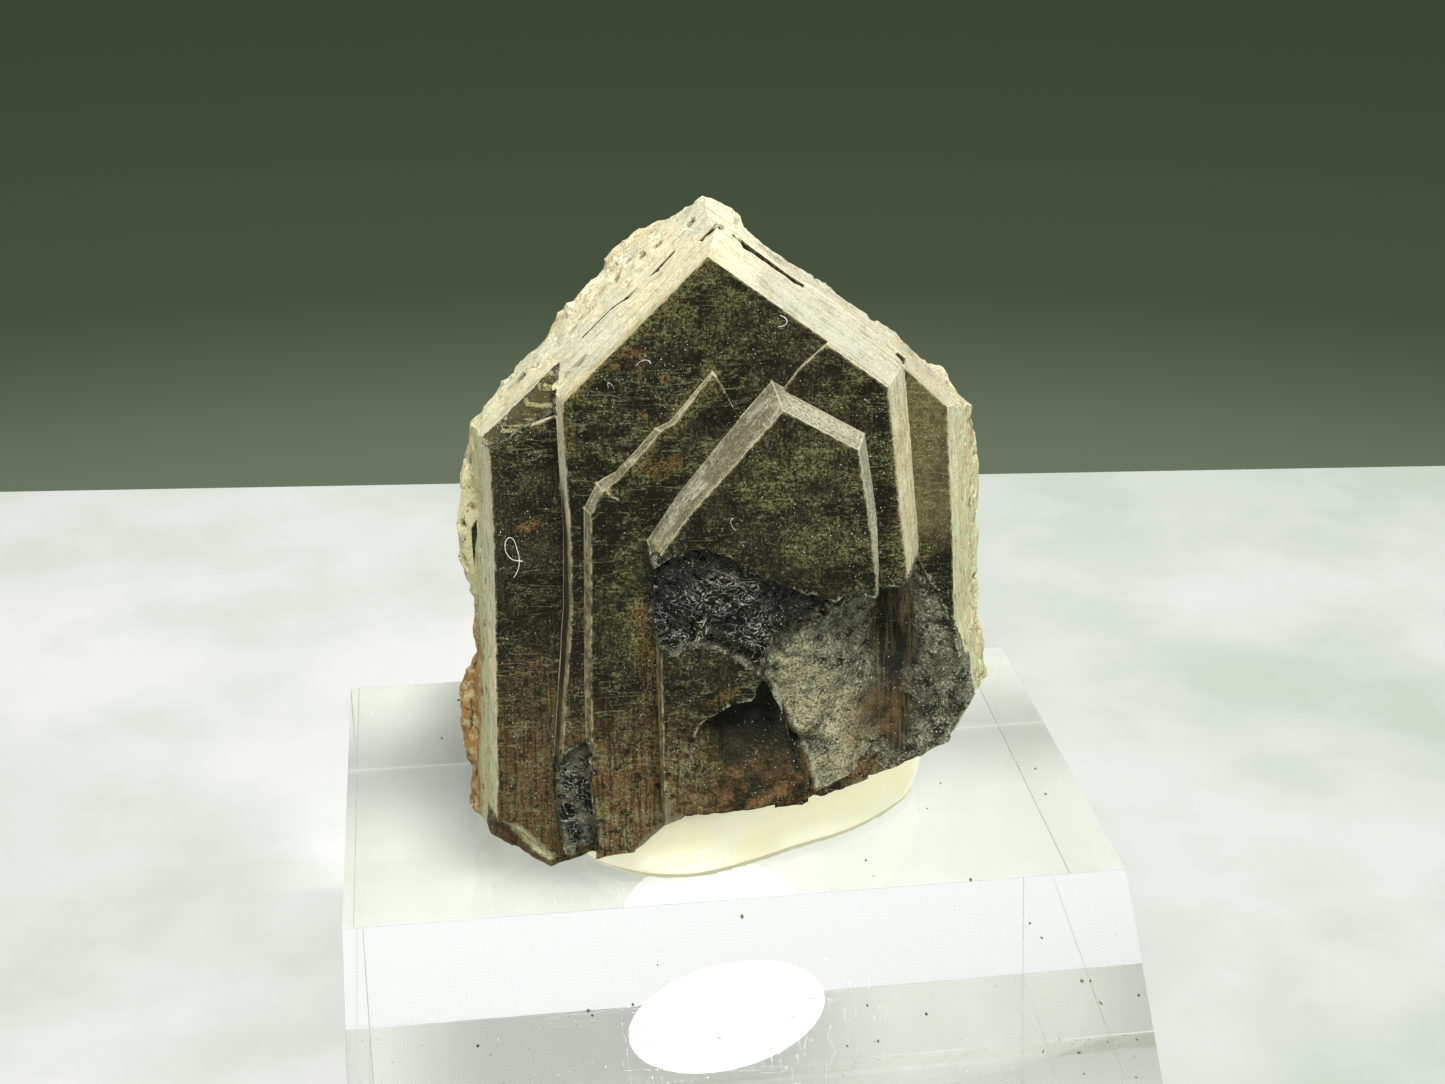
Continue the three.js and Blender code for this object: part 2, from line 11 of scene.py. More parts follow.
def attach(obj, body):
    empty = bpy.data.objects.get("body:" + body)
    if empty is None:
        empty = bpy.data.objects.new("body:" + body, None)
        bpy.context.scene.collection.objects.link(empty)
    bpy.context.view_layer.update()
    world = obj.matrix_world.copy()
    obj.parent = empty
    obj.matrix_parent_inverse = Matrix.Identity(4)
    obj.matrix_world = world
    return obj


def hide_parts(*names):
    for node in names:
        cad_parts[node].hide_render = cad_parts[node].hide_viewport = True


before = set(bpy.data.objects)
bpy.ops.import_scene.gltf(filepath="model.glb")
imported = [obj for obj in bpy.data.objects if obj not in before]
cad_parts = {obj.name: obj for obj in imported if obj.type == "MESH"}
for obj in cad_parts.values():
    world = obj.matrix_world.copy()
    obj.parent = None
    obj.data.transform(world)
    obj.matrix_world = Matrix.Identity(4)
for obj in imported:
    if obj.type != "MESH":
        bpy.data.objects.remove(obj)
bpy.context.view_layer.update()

# ---- Viewpoint ----
# The specimen is seen from a little above and a little to its left, close to,
# with the whole sloped block nearly filling the lower part of the view.

EYE = (-0.0172, -0.1233, 0.0946)
LOOK_DOWN = math.radians(24.12)
LOOK_RIGHT = math.radians(7.79)
LENS_MM = 54.81
SENSOR_MM = 36


def placed(name, data):
    """A new object in the scene."""
    piece = bpy.data.objects.new(name, data)
    bpy.context.scene.collection.objects.link(piece)
    return piece


camera = placed("camera", bpy.data.cameras.new("camera"))
camera.data.sensor_width = SENSOR_MM
camera.data.lens = LENS_MM
camera.data.clip_start = 0.005
camera.data.clip_end = 10
camera.location = EYE
camera.rotation_euler = (math.pi / 2 - LOOK_DOWN, 0, -LOOK_RIGHT)
bpy.context.scene.camera = camera

# ---- Shelf and studio light ----
# The block stands loose on a plain pale shelf with a dark wall behind it. Lamps
# in front and behind and a pale ceiling light it softly from above.

SHELF_BACK_LEFT = 0.1105
SHELF_BACK_RIGHT = 0.0960
SHELF_BACK_SPAN = 0.1627
SHELF_LEFT_OF_MIDDLE = 0.0664
SHELF_HALF = 0.6
SHELF_DROP = 0.00005
SHELF_COLOUR = (0.470, 0.470, 0.450)
SHELF_DARKER = (0.315, 0.355, 0.300)
WALL_LOW = (0.148, 0.184, 0.124)
WALL_MIDDLE = (0.060, 0.083, 0.047)
WALL_HIGH = (0.044, 0.062, 0.033)
CEILING = (1.14, 1.12, 1.18)
ROOM = (0.50, 0.52, 0.48)
CEILING_FROM = 0.53
CEILING_FULL = 0.70
REFLECTIONS_DEEP = 24
# How much lighter the shelf is painted under and just behind the block: painted light.
PAINTED_LIGHT_UNDER_BLOCK = 1.55
PAINTED_LIGHT_BEHIND_BLOCK = 1.24
BLOCK_FOOT = 0.025
FOOT_BLUR = 0.0001


def new_finish(name):
    """Starts a material: its empty tree is the one that put adds nodes to."""
    global tree
    finish = bpy.data.materials.new(name)
    finish.use_nodes = True
    tree = finish.node_tree
    tree.nodes.clear()
    return finish


def put(kind, settings=None, **inputs):
    """Adds a node. Inputs are values, or sockets to link from."""
    made = tree.nodes.new(kind)
    for key, value in (settings or {}).items():
        setattr(made, key, value)
    for key, value in inputs.items():
        socket = made.inputs[int(key[1:])] if key[0] == "_" else made.inputs[key.replace("_", " ")]
        if isinstance(value, bpy.types.NodeSocket):
            tree.links.new(value, socket)
        else:
            socket.default_value = value
    return made


def colour_of(rgb):
    return (*rgb, 1.0)


def blend_colours(share, first, second):
    """Colour between first and second, by share."""
    made = put("ShaderNodeMix", {"data_type": "RGBA"})
    for socket, value in ((made.inputs[0], share), (made.inputs[6], first), (made.inputs[7], second)):
        if isinstance(value, bpy.types.NodeSocket):
            tree.links.new(value, socket)
        elif isinstance(value, tuple):
            socket.default_value = colour_of(value)
        else:
            socket.default_value = value
    return made.outputs[2]


def calc(way, first, second=0.0, third=0.0):
    return put("ShaderNodeMath", {"operation": way}, _0=first, _1=second, _2=third).outputs[0]


def times(first, second):
    return calc("MULTIPLY", first, second)


def most(first, second):
    return calc("MAXIMUM", first, second)


def fade(value, start, end, low=0.0, high=1.0):
    """Smooth change from low to high as value goes from start to end."""
    made = put("ShaderNodeMapRange", {"interpolation_type": "SMOOTHSTEP"},
               _0=value, _1=start, _2=end, _3=low, _4=high)
    return made.outputs[0]


def stretch(place, scale, turn=(0, 0, 0), shift=(0, 0, 0)):
    made = put("ShaderNodeMapping", Vector=place, Location=shift, Rotation=turn, Scale=scale)
    return made.outputs[0]


def cloud(place, scale, detail=4.0, rough=0.55, warp=0.0):
    made = put("ShaderNodeTexNoise", Vector=place, Scale=scale, Detail=detail,
               Roughness=rough, Distortion=warp)
    return made.outputs[0]


def surfaced(bump=None, **inputs):
    """Ends a material's tree with its surface."""
    if bump:
        inputs["Normal"] = bump.outputs[0]
    surface = put("ShaderNodeBsdfPrincipled", **inputs)
    return put("ShaderNodeOutputMaterial", Surface=surface.outputs[0])


shelf_finish = new_finish("pale_shelf")
place = put("ShaderNodeTexCoord").outputs["Object"]
broad = fade(cloud(place, 17, 3, 0.5), 0.40, 0.64)
small = fade(cloud(stretch(place, (1, 1, 1), shift=(3, 5, 0)), 70, 4, 0.6), 0.40, 0.66)
darker_share = calc("ADD", times(broad, 0.60), times(small, 0.30))
sides = put("ShaderNodeSeparateXYZ", Vector=place)
# The shelf is also paler to the left, and darker and greener towards the right and towards the back.
drift = calc("ADD", fade(sides.outputs[0], -0.04, 0.05, -0.25, 0.22),
             fade(sides.outputs[1], 0.060, 0.095, 0.0, 0.50))
darker_share = calc("ADD", darker_share, drift)
darker_share = put("ShaderNodeClamp", Value=darker_share).outputs[0]
# Under the block and just behind it the shelf is painted lighter, as painted light for the light the clear
# block gathers onto it.
from_middle = calc("ABSOLUTE", sides.outputs[0])
sideways = fade(from_middle, BLOCK_FOOT - FOOT_BLUR, BLOCK_FOOT + FOOT_BLUR, 1.0, 0.0)
past_front = fade(sides.outputs[1], -BLOCK_FOOT - FOOT_BLUR, -BLOCK_FOOT + FOOT_BLUR)
before_back = fade(sides.outputs[1], 0.012, 0.0255, 1.0, 0.0)
inward = times(past_front, before_back)
under = calc("MULTIPLY_ADD", times(sideways, inward), PAINTED_LIGHT_UNDER_BLOCK - 1, 1.0)
behind = times(fade(sides.outputs[1], 0.024, 0.026),
              fade(sides.outputs[1], 0.034, 0.046, 1.0, 0.0))
behind = times(behind, fade(from_middle, 0.024, 0.034, 1.0, 0.0))
under = calc("MULTIPLY_ADD", behind, PAINTED_LIGHT_BEHIND_BLOCK - 1, under)
paint = blend_colours(darker_share, SHELF_COLOUR, SHELF_DARKER)
paint = put("ShaderNodeVectorMath", {"operation": "SCALE"}, _0=paint, Scale=under).outputs[0]
surfaced(Base_Color=paint, Roughness=0.6)

shelf_turn = (SHELF_BACK_RIGHT - SHELF_BACK_LEFT) / SHELF_BACK_SPAN
shelf_middle = SHELF_BACK_LEFT + shelf_turn * SHELF_LEFT_OF_MIDDLE
shelf_mesh = bpy.data.meshes.new("shelf")
shelf_mesh.from_pydata(
    [(-SHELF_HALF, -SHELF_HALF, -SHELF_DROP), (SHELF_HALF, -SHELF_HALF, -SHELF_DROP),
     (SHELF_HALF, shelf_middle + shelf_turn * SHELF_HALF, -SHELF_DROP),
     (-SHELF_HALF, shelf_middle - shelf_turn * SHELF_HALF, -SHELF_DROP)],
    [], [(0, 1, 2, 3)])
shelf_mesh.materials.append(shelf_finish)
shelf = placed("shelf", shelf_mesh)

room = bpy.data.worlds.new("room")
room.use_nodes = True
tree = room.node_tree
looking = put("ShaderNodeTexCoord").outputs["Generated"]
facing = put("ShaderNodeSeparateXYZ", Vector=looking)
height = facing.outputs[2]
wall = blend_colours(fade(height, -0.385, -0.29), WALL_LOW, WALL_MIDDLE)
wall = blend_colours(fade(height, -0.29, -0.18), wall, WALL_HIGH)
wall = blend_colours(fade(facing.outputs[1], 0.80, 0.66), wall, ROOM)
wall = blend_colours(fade(height, -0.12, 0.10), wall, ROOM)
around = blend_colours(fade(height, CEILING_FROM, CEILING_FULL), wall, CEILING)
tree.links.new(around, tree.nodes["Background"].inputs["Color"])
bpy.context.scene.world = room
bpy.context.scene.view_settings.view_transform = "Standard"
bpy.context.scene.cycles.glossy_bounces = REFLECTIONS_DEEP
bpy.context.scene.cycles.transmission_bounces = REFLECTIONS_DEEP
bpy.context.scene.cycles.max_bounces = REFLECTIONS_DEEP
room.cycles.sampling_method = "NONE"


def soft_lamp(name, where, wide, tall, watts):
    lamp = placed(name, bpy.data.lights.new(name, "AREA"))
    lamp.data.shape = "ELLIPSE"
    lamp.data.size = wide
    lamp.data.size_y = tall
    lamp.data.energy = watts
    lamp.location = where
    lamp.rotation_euler = (Vector(SUBJECT) - Vector(where)).to_track_quat("-Z", "Y").to_euler()
    lamp.visible_camera = False
    return lamp


SUBJECT = (0.0, 0.0, 0.03)
FRONT = (0.076, -0.413, 0.650)
BACK = (0.070, 0.500, 0.393)
FRONT_GLINT = (0.0826, -0.4187, 0.6476)
BACK_GLINT = (0.066, 0.510, 0.352)
lamps = [soft_lamp("front_lamp", FRONT, 0.20, 0.13, 5.8),
         soft_lamp("back_lamp", BACK, 0.075, 0.045, 1.15)]
soft_lamp("front_glint", FRONT_GLINT, 0.080, 0.041, 0.14)
soft_lamp("back_glint", BACK_GLINT, 0.062, 0.040, 0.030)

# ---- Display block ----
# A sawn and polished piece of clear acrylic, square from above, with a sloped
# front. Its edges are lightly eased. It is loose on the shelf.

BLOCK_WIDTH = 0.050
BLOCK_DEPTH = 0.050
BLOCK_HEIGHT = 0.0173
SLOPE_RUN = 0.018
TOE_HEIGHT = 0.0005
EASED_EDGE = 0.00003
ACRYLIC_TINT = (0.96, 0.98, 0.955)
ACRYLIC_DEPTH_TINT = (0.85, 0.87, 0.81)
ACRYLIC_DENSITY = 12.0

half_depth = BLOCK_DEPTH / 2
profile = [
    (-half_depth, 0.0),
    (half_depth, 0.0),
    (half_depth, BLOCK_HEIGHT),
    (-half_depth + SLOPE_RUN, BLOCK_HEIGHT),
    (-half_depth, TOE_HEIGHT),
]
sawn = bmesh.new()
left_end = [sawn.verts.new((-BLOCK_WIDTH / 2, y, z)) for y, z in profile]
right_end = [sawn.verts.new((BLOCK_WIDTH / 2, y, z)) for y, z in profile]
sawn.faces.new(left_end)
sawn.faces.new(reversed(right_end))
for i in range(len(profile)):
    j = (i + 1) % len(profile)
    sawn.faces.new((left_end[j], left_end[i], right_end[i], right_end[j]))
bmesh.ops.recalc_face_normals(sawn, faces=sawn.faces)
toe = [e for e in sawn.edges if all(abs(v.co.y + half_depth) < 1e-6 for v in e.verts)]
eased = [e for e in sawn.edges if e not in toe]
bmesh.ops.bevel(sawn, geom=eased, offset=EASED_EDGE, segments=2, profile=0.5, affect="EDGES")
block_mesh = bpy.data.meshes.new("acrylic_block")
sawn.to_mesh(block_mesh)
sawn.free()

acrylic = new_finish("clear_acrylic")
place = put("ShaderNodeTexCoord").outputs["Object"]
lines_one = cloud(stretch(place, (900, 60, 300), (0, 0, 0.5)), 1.0, 2)
lines_two = cloud(stretch(place, (70, 1100, 300), (0, 0, 0.35)), 1.0, 2)
from_middle_one = calc("ABSOLUTE", calc("SUBTRACT", lines_one, 0.5))
from_middle_two = calc("ABSOLUTE", calc("SUBTRACT", lines_two, 0.5))
score_one = fade(from_middle_one, 0.0, 0.006, 1.0, 0.0)
score_two = fade(from_middle_two, 0.0, 0.005, 1.0, 0.0)
scored = most(score_one, score_two)
handled = fade(cloud(place, 90, 4), 0.45, 0.7)
relief = put("ShaderNodeBump", {"invert": True}, Strength=0.05, Distance=0.00001,
             Height=times(scored, handled))
output = surfaced(relief, Base_Color=colour_of(ACRYLIC_TINT), IOR=1.49, Roughness=0.0,
                  Transmission_Weight=1.0)
deep = put("ShaderNodeVolumeAbsorption", Color=colour_of(ACRYLIC_DEPTH_TINT), Density=ACRYLIC_DENSITY)
tree.links.new(deep.outputs[0], output.inputs["Volume"])
block_mesh.materials.append(acrylic)

acrylic_block = placed("acrylic_block", block_mesh)
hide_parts("display_block")
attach(acrylic_block, "root")
acrylic_block.visible_shadow = False

# The lamps shine through the block onto the shelf. What the block itself
# mirrors is the two faint glints.
lamps_pass = bpy.data.collections.new("lamps_pass")
lamps_pass.objects.link(acrylic_block)
lamps_pass.collection_objects[0].light_linking.link_state = "EXCLUDE"
for lamp in lamps:
    lamp.light_linking.receiver_collection = lamps_pass

# ---- Crystal: shape ----
# One crystal of euxenite, a flat gabled tablet with thinner terraces grown on
# its large face. The lower right and the rear are broken. The tack under its
# right side holds it up on its low left tip.

MM = 0.001
TIP = np.array([-11.6, -2.2, 17.3])
TURN = math.radians(-7.8)
ACROSS = np.array([math.cos(TURN), math.sin(TURN), 0.0])
OUTWARD = np.array([math.sin(TURN), -math.cos(TURN), 0.0])
UPWARD = np.array([0.0, 0.0, 1.0])
GROWTH = np.stack([ACROSS, UPWARD, OUTWARD])

# Broken places of the large face, [across, up] in millimetres from the tip.
STEPPED_CORNER = [(15.4, 3.0), (15.2, 11.4), (14.3, 14.6), (13.4, 16.8), (13.9, 19.0), (15.4, 20.0),
                  (17.2, 21.2), (18.7, 22.4), (19.6, 21.7), (21.4, 21.4), (22.6, 22.3), (24.0, 20.0),
                  (24.9, 17.5), (25.6, 15.0), (30.0, 12.0), (30.0, 3.0)]
GLASSY_PATCH = [(6.5, 23.4), (8.0, 24.4), (9.8, 24.9), (11.3, 24.2), (13.3, 22.9), (16.0, 22.0),
                (17.6, 21.4), (16.4, 20.4), (13.9, 18.8), (13.2, 16.6), (12.0, 17.4), (10.4, 18.4),
                (8.8, 18.4), (7.9, 17.8), (6.7, 18.8)]
RED_PLATE = [(9.4, 13.2), (11.3, 14.6), (12.6, 14.9), (13.3, 16.3), (14.2, 14.7), (16.4, 9.0),
             (17.4, 3.0), (9.0, 3.0), (8.4, 9.0)]
BLACK_CHIP = [(2.3, 10.9), (1.1, 9.9), (0.4, 8.0), (0.4, 4.6), (1.0, 3.2), (2.6, 1.6), (3.2, 4.0),
              (2.7, 8.0), (2.8, 11.0)]
LEDGE_CORNER = [(-5.0, 28.4), (-2.4, 29.5), (-0.6, 30.6), (1.2, 31.6), (1.2, 36.0), (-5.0, 36.0)]
BROKEN_TIP = [(-4.2, 3.9), (-2.9, 3.5), (-2.0, 3.3), (0.1, 1.1), (0.5, 0.9), (2.6, 1.1), (2.6, -0.3),
              (-4.2, -0.3)]
PALE_STRIP = [(-3.0, 3.45), (-2.25, 3.35), (0.15, 0.95), (-0.25, 0.6), (-1.3, 1.4)]

# Stains and other soft patches, each [across, up, half width, half height, turn in degrees, strength]. The
# pale wisps among them are painted glints.
AMBER_STAINS = [
    (6.2, 17.6, 0.85, 4.6, 0, 0.85), (6.9, 13.5, 0.30, 5.5, 0, 0.6), (0.5, 12.4, 0.75, 0.9, -20, 1.5),
    (7.3, 29.3, 1.9, 0.9, 12, 0.75), (7.5, 34.4, 0.36, 0.33, 0, 1.6), (6.3, 32.1, 0.34, 0.32, 0, 1.6),
    (11.0, 15.2, 1.5, 0.5, 28, 0.9), (4.0, 11.5, 0.8, 0.6, 30, 0.4)]
OLIVE_STAINS = [
    (15.6, 30.0, 4.2, 2.6, 0, 0.70), (16.6, 25.0, 3.0, 2.4, 10, 0.75), (13.0, 28.6, 3.0, 1.4, -15, 0.7),
    (13.2, 37.2, 3.6, 1.6, -20, 0.5), (-1.2, 31.0, 2.4, 2.6, 10, 0.9), (18.2, 34.2, 2.4, 1.4, -25, 0.5),
    (5.4, 29.4, 2.2, 2.0, 20, 0.4), (4.9, 19.5, 1.8, 5.6, 0, 0.60), (-1.0, 14.0, 1.8, 3.0, 0, 0.45),
    (22.1, 31.0, 1.8, 4.2, 0, 1.4), (22.1, 24.0, 1.7, 4.5, 0, 1.4), (10.6, 38.0, 4.0, 3.2, 0, 0.65)]
RUST_STAINS = [
    (11.4, 6.0, 5.6, 2.6, 8, 0.9), (7.05, 12.5, 0.22, 6.5, 0, 1.3), (-0.9, 5.2, 1.7, 4.2, 0, 0.75),
    (0.9, 7.6, 0.22, 3.0, 0, 1.4), (-0.7, 24.3, 0.8, 0.4, 15, 1.0), (4.9, 8.6, 2.2, 2.6, 0, 0.6),
    (-1.2, 14.6, 1.7, 2.2, 0, 0.55), (21.6, 26.5, 1.0, 3.5, 0, 0.4), (-0.4, 2.2, 1.6, 1.0, -30, 1.2),
    (6.6, 7.6, 2.2, 0.35, 28, 0.9), (5.6, 35.2, 1.4, 1.2, 40, 0.35), (20.4, 11.4, 2.3, 2.4, 20, 0.55)]
GLINT_WISPS = [
    (10.6, 21.6, 2.6, 1.5, 20, 1.0), (7.2, 19.4, 0.6, 1.7, 10, 1.4), (9.0, 18.8, 1.6, 0.7, 40, 1.3),
    (12.6, 19.6, 1.8, 1.2, -10, 0.8), (13.4, 17.8, 1.0, 0.9, 0, 1.2), (1.5, 5.6, 1.3, 4.6, 0, 1.3)]
SHADED_GROOVE = [
    (21.6, 16.8, 1.7, 4.2, 0, 1.3), (20.9, 12.6, 1.5, 2.6, 10, 0.9), (23.6, 13.2, 0.9, 2.6, -20, 0.5),
    (21.7, 11.2, 1.5, 3.2, 0, 1.2)]
TAN_RIDGE = [
    (15.6, 14.4, 1.5, 3.2, 8, 1.3), (18.0, 12.0, 1.3, 4.4, 18, 1.0), (17.4, 8.4, 2.0, 1.6, 10, 1.1),
    (15.2, 17.2, 1.3, 1.2, 0, 0.9)]

TERRACE_LEVELS = (0.0, 2.4, 2.7, 4.6)
FACES_OUT = 0.97
MERGE = 2e-6
FACE_STEP = 0.36
FLANK_STEP = 0.27
BREAK_STEP = 0.21
REAR_STEP = 0.60
LONGEST_EDGE = 1.45
MOST_CUTS = 12
SAME_PLANE = 0.99999
WELD = 0.002
REAR_START = -6.5
FLUSH = 0.15
FLUSH_ABOVE = 33.0
FLUSH_LEFT = 0.35
FLUSH_RIGHT = 10.2
CREST_BEND = 0.35
SHARP_EDGE = math.radians(32)


def chance(i, j, k, seed):
    """A fixed random number from -1 to 1 for each whole-numbered place."""
    with np.errstate(over="ignore"):
        bits = (i.astype(np.int64).astype(np.uint32) * np.uint32(374761393)
                ^ j.astype(np.int64).astype(np.uint32) * np.uint32(668265263)
                ^ k.astype(np.int64).astype(np.uint32) * np.uint32(2246822519)
                ^ np.uint32((seed * 3266489917 + 97) & 0xFFFFFFFF))
        bits = (bits ^ (bits >> np.uint32(15))) * np.uint32(2246822519)
        bits = (bits ^ (bits >> np.uint32(13))) * np.uint32(3266489917)
        bits = bits ^ (bits >> np.uint32(16))
    return bits / 2147483647.5 - 1.0


def swell(spots, size, seed):
    """Smooth random lumps of a size in millimetres, from -1 to 1."""
    scaled = spots / size
    cell = np.floor(scaled)
    part = scaled - cell
    part = part * part * (3 - 2 * part)
    total = np.zeros(len(spots))
    for corner in range(8):
        step = np.array([corner & 1, corner >> 1 & 1, corner >> 2 & 1])
        weight = np.prod(np.where(step, part, 1 - part), axis=1)
        total += weight * chance(*(cell + step).T, seed)
    return total


def rough(spots, size, seed, octaves=4, fade=0.5):
    """Swells with finer ones on them."""
    return sum(swell(spots, size * 0.5 ** n, seed + n) * fade ** n for n in range(octaves))


def shards(spots, size, seed, tilt):
    """Flat facets, each tilted its own way, as a brittle break leaves."""
    scaled = spots / size
    home = np.floor(scaled)
    nearest = np.full(len(spots), 1e9)
    height = np.zeros(len(spots))
    for n in range(27):
        step = np.array([n % 3 - 1, n // 3 % 3 - 1, n // 9 - 1])
        cell = home + step
        jitter = np.stack([chance(*cell.T, seed + a) for a in range(3)], axis=1)
        away = scaled - (cell + 0.5 + jitter * 0.45)
        reach = (away ** 2).sum(axis=1)
        slant = np.stack([chance(*cell.T, seed + 5 + a) for a in range(3)], axis=1)
        closer = reach < nearest
        nearest = np.where(closer, reach, nearest)
        facet = (away * slant).sum(axis=1) * tilt + chance(*cell.T, seed + 9) * 0.25
        height = np.where(closer, facet, height)
    return height


def inside(spots, outline):
    """Distance in millimetres inside an outline, below zero when outside it."""
    u, v = spots[:, 0], spots[:, 1]
    within = np.zeros(len(spots), bool)
    nearest = np.full(len(spots), 1e9)
    for n, (x0, y0) in enumerate(outline):
        x1, y1 = outline[(n + 1) % len(outline)]
        crosses = (y0 > v) != (y1 > v)
        with np.errstate(divide="ignore", invalid="ignore"):
            hit = u < (x1 - x0) * (v - y0) / (y1 - y0) + x0
        within ^= crosses & hit
        length = (x1 - x0) ** 2 + (y1 - y0) ** 2
        along = np.clip(((u - x0) * (x1 - x0) + (v - y0) * (y1 - y0)) / length, 0, 1)
        nearest = np.minimum(nearest, np.hypot(u - x0 - along * (x1 - x0), v - y0 - along * (y1 - y0)))
    return np.where(within, nearest, -nearest)


def ease(value, start, end):
    part = np.clip((value - start) / (end - start), 0, 1)
    return part * part * (3 - 2 * part)


def soft_patches(spots, stains):
    """Strength of soft-edged patches at each point: stains, and also painted glints and shade."""
    total = np.zeros(len(spots))
    bent = spots[:, :2] + np.stack([rough(spots, 1.5, 301, 3), rough(spots, 1.5, 311, 3)], axis=1) * 0.45
    for across, up, wide, tall, turn, strength in stains:
        reach = min(wide, tall, 1.0)
        away = spots[:, :2] + (bent - spots[:, :2]) * reach - np.array([across, up])
        c, s = math.cos(math.radians(turn)), math.sin(math.radians(turn))
        far = np.hypot((away[:, 0] * c + away[:, 1] * s) / wide, (away[:, 1] * c - away[:, 0] * s) / tall)
        total = np.maximum(total, strength * (1 - ease(far, 0.45, 1.25)))
    return total


def to_growth(points):
    """Metres in the specimen's frame to millimetres across, up and out of the large face."""
    return (points / MM - TIP) @ GROWTH.T


def from_growth(spots):
    return (spots @ GROWTH + TIP) * MM


def kinds_of(centres, normals):
    """0 growth face, 1 growth edge, 2 front break, 3 rear, for each small face."""
    kind = np.where(normals[:, 2] > FACES_OUT, 0, 1)
    front = centres[:, 2] > -1.8
    level = np.zeros(len(centres), bool)
    for terrace in TERRACE_LEVELS:
        level |= (normals[:, 2] > 0.9995) & (np.abs(centres[:, 2] - terrace) < 0.02)
    for outline, margin in ((STEPPED_CORNER, 0.30), (GLASSY_PATCH, 0.55), (RED_PLATE, 0.35),
                            (BLACK_CHIP, 0.25), (LEDGE_CORNER, 0.03), (BROKEN_TIP, 0.10)):
        near = inside(centres, outline)
        sloping = (normals[:, 2] > 0.2) & (near > -0.03)
        steep = (normals[:, 2] <= FACES_OUT) & (near > -margin)
        kind = np.where((sloping | steep) & front & ~level, 2, kind)
    kind = np.where((centres[:, 2] < REAR_START) | (normals[:, 2] < -0.25), 3, kind)
    return kind


stone = bmesh.new()
stone.from_mesh(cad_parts["crystal"].data)
bmesh.ops.remove_doubles(stone, verts=stone.verts, dist=MERGE)
for vert in stone.verts:
    vert.co = Vector(to_growth(np.array(vert.co)[None])[0])
stone.normal_update()
steps_of_kind = (FACE_STEP, FLANK_STEP, BREAK_STEP, REAR_STEP)
kind_layer = stone.faces.layers.int.new("kind")
stone.faces.ensure_lookup_table()
first_kinds = kinds_of(np.array([f.calc_center_median() for f in stone.faces]),
                       np.array([f.normal for f in stone.faces]))
for face, kind in zip(stone.faces, first_kinds):
    face[kind_layer] = int(kind)
for _ in range(MOST_CUTS):
    long_edges = []
    for edge in stone.edges:
        limit = min(steps_of_kind[f[kind_layer]] for f in edge.link_faces)
        if edge.calc_length() > limit * LONGEST_EDGE:
            long_edges.append(edge)
    if not long_edges:
        break
    bmesh.ops.subdivide_edges(stone, edges=long_edges, cuts=1)
    bmesh.ops.triangulate(stone, faces=[f for f in stone.faces if len(f.verts) > 3])
    stone.normal_update()
    level_edges = [e for e in stone.edges if len(e.link_faces) == 2
                   and e.link_faces[0].normal.dot(e.link_faces[1].normal) > SAME_PLANE
                   and e.link_faces[0][kind_layer] == e.link_faces[1][kind_layer]]
    bmesh.ops.beautify_fill(stone, faces=stone.faces, edges=level_edges, method="ANGLE")
    bmesh.ops.remove_doubles(stone, verts=stone.verts, dist=WELD)
    stone.verts.index_update()
    seen = set()
    twins = []
    for face in stone.faces:
        corner_set = frozenset(vert.index for vert in face.verts)
        if corner_set in seen:
            twins.append(face)
        seen.add(corner_set)
    bmesh.ops.delete(stone, geom=twins, context="FACES_ONLY")
flaps = [face for face in stone.faces if any(len(edge.link_faces) == 1 for edge in face.edges)
         and any(len(edge.link_faces) > 2 for edge in face.edges)]
bmesh.ops.delete(stone, geom=flaps, context="FACES_ONLY")
bmesh.ops.delete(stone, geom=[vert for vert in stone.verts if not vert.link_faces], context="VERTS")
stone.normal_update()
stone.verts.ensure_lookup_table()
stone.faces.ensure_lookup_table()
face_normals = np.array([f.normal for f in stone.faces])
face_kinds = kinds_of(np.array([f.calc_center_median() for f in stone.faces]), face_normals)
for face, kind in zip(stone.faces, face_kinds):
    face[kind_layer] = int(kind)

spots = np.array([v.co for v in stone.verts])
normals = np.array([v.normal for v in stone.verts])
corners = np.array([[v.index for v in f.verts] for f in stone.faces])
crests = np.zeros(len(spots))
crest_edges = []
for edge in stone.edges:
    bend = edge.calc_face_angle_signed(0.0) if len(edge.link_faces) == 2 else 0.0
    if bend > CREST_BEND:
        if all(face[kind_layer] != 2 for face in edge.link_faces):
            crest_edges.append([vert.index for vert in edge.verts])
        for vert in edge.verts:
            crests[vert.index] = max(crests[vert.index], min(bend, 1.2))
edge_pairs = np.array([[e.verts[0].index, e.verts[1].index] for e in stone.edges])
stone.free()


def spread(values, rounds):
    """Averages values over neighbouring points."""
    for n in range(rounds):
        total = values.copy()
        count = np.ones(len(values)) if values.ndim == 1 else np.ones((len(values), 1))
        np.add.at(total, edge_pairs[:, 0], values[edge_pairs[:, 1]])
        np.add.at(total, edge_pairs[:, 1], values[edge_pairs[:, 0]])
        np.add.at(count, edge_pairs[:, 0], 1)
        np.add.at(count, edge_pairs[:, 1], 1)
        values = total / count
    return values


shares = np.zeros((len(spots), 4))
for corner in range(3):
    np.add.at(shares, (corners[:, corner], face_kinds), 1)
shares /= shares.sum(axis=1, keepdims=True)
shares = spread(shares, 1)
on_face, on_flank, on_break, on_rear = shares.T

crest_points = []
for edge_a, edge_b in crest_edges:
    crest_points += [spots[edge_a], spots[edge_b], (spots[edge_a] + spots[edge_b]) / 2]
crest_tree = KDTree(len(crest_points))
for n, point in enumerate(crest_points):
    crest_tree.insert(point, n)
crest_tree.balance()
to_crest = np.array([min(crest_tree.find(point)[2], 3.0) for point in spots])

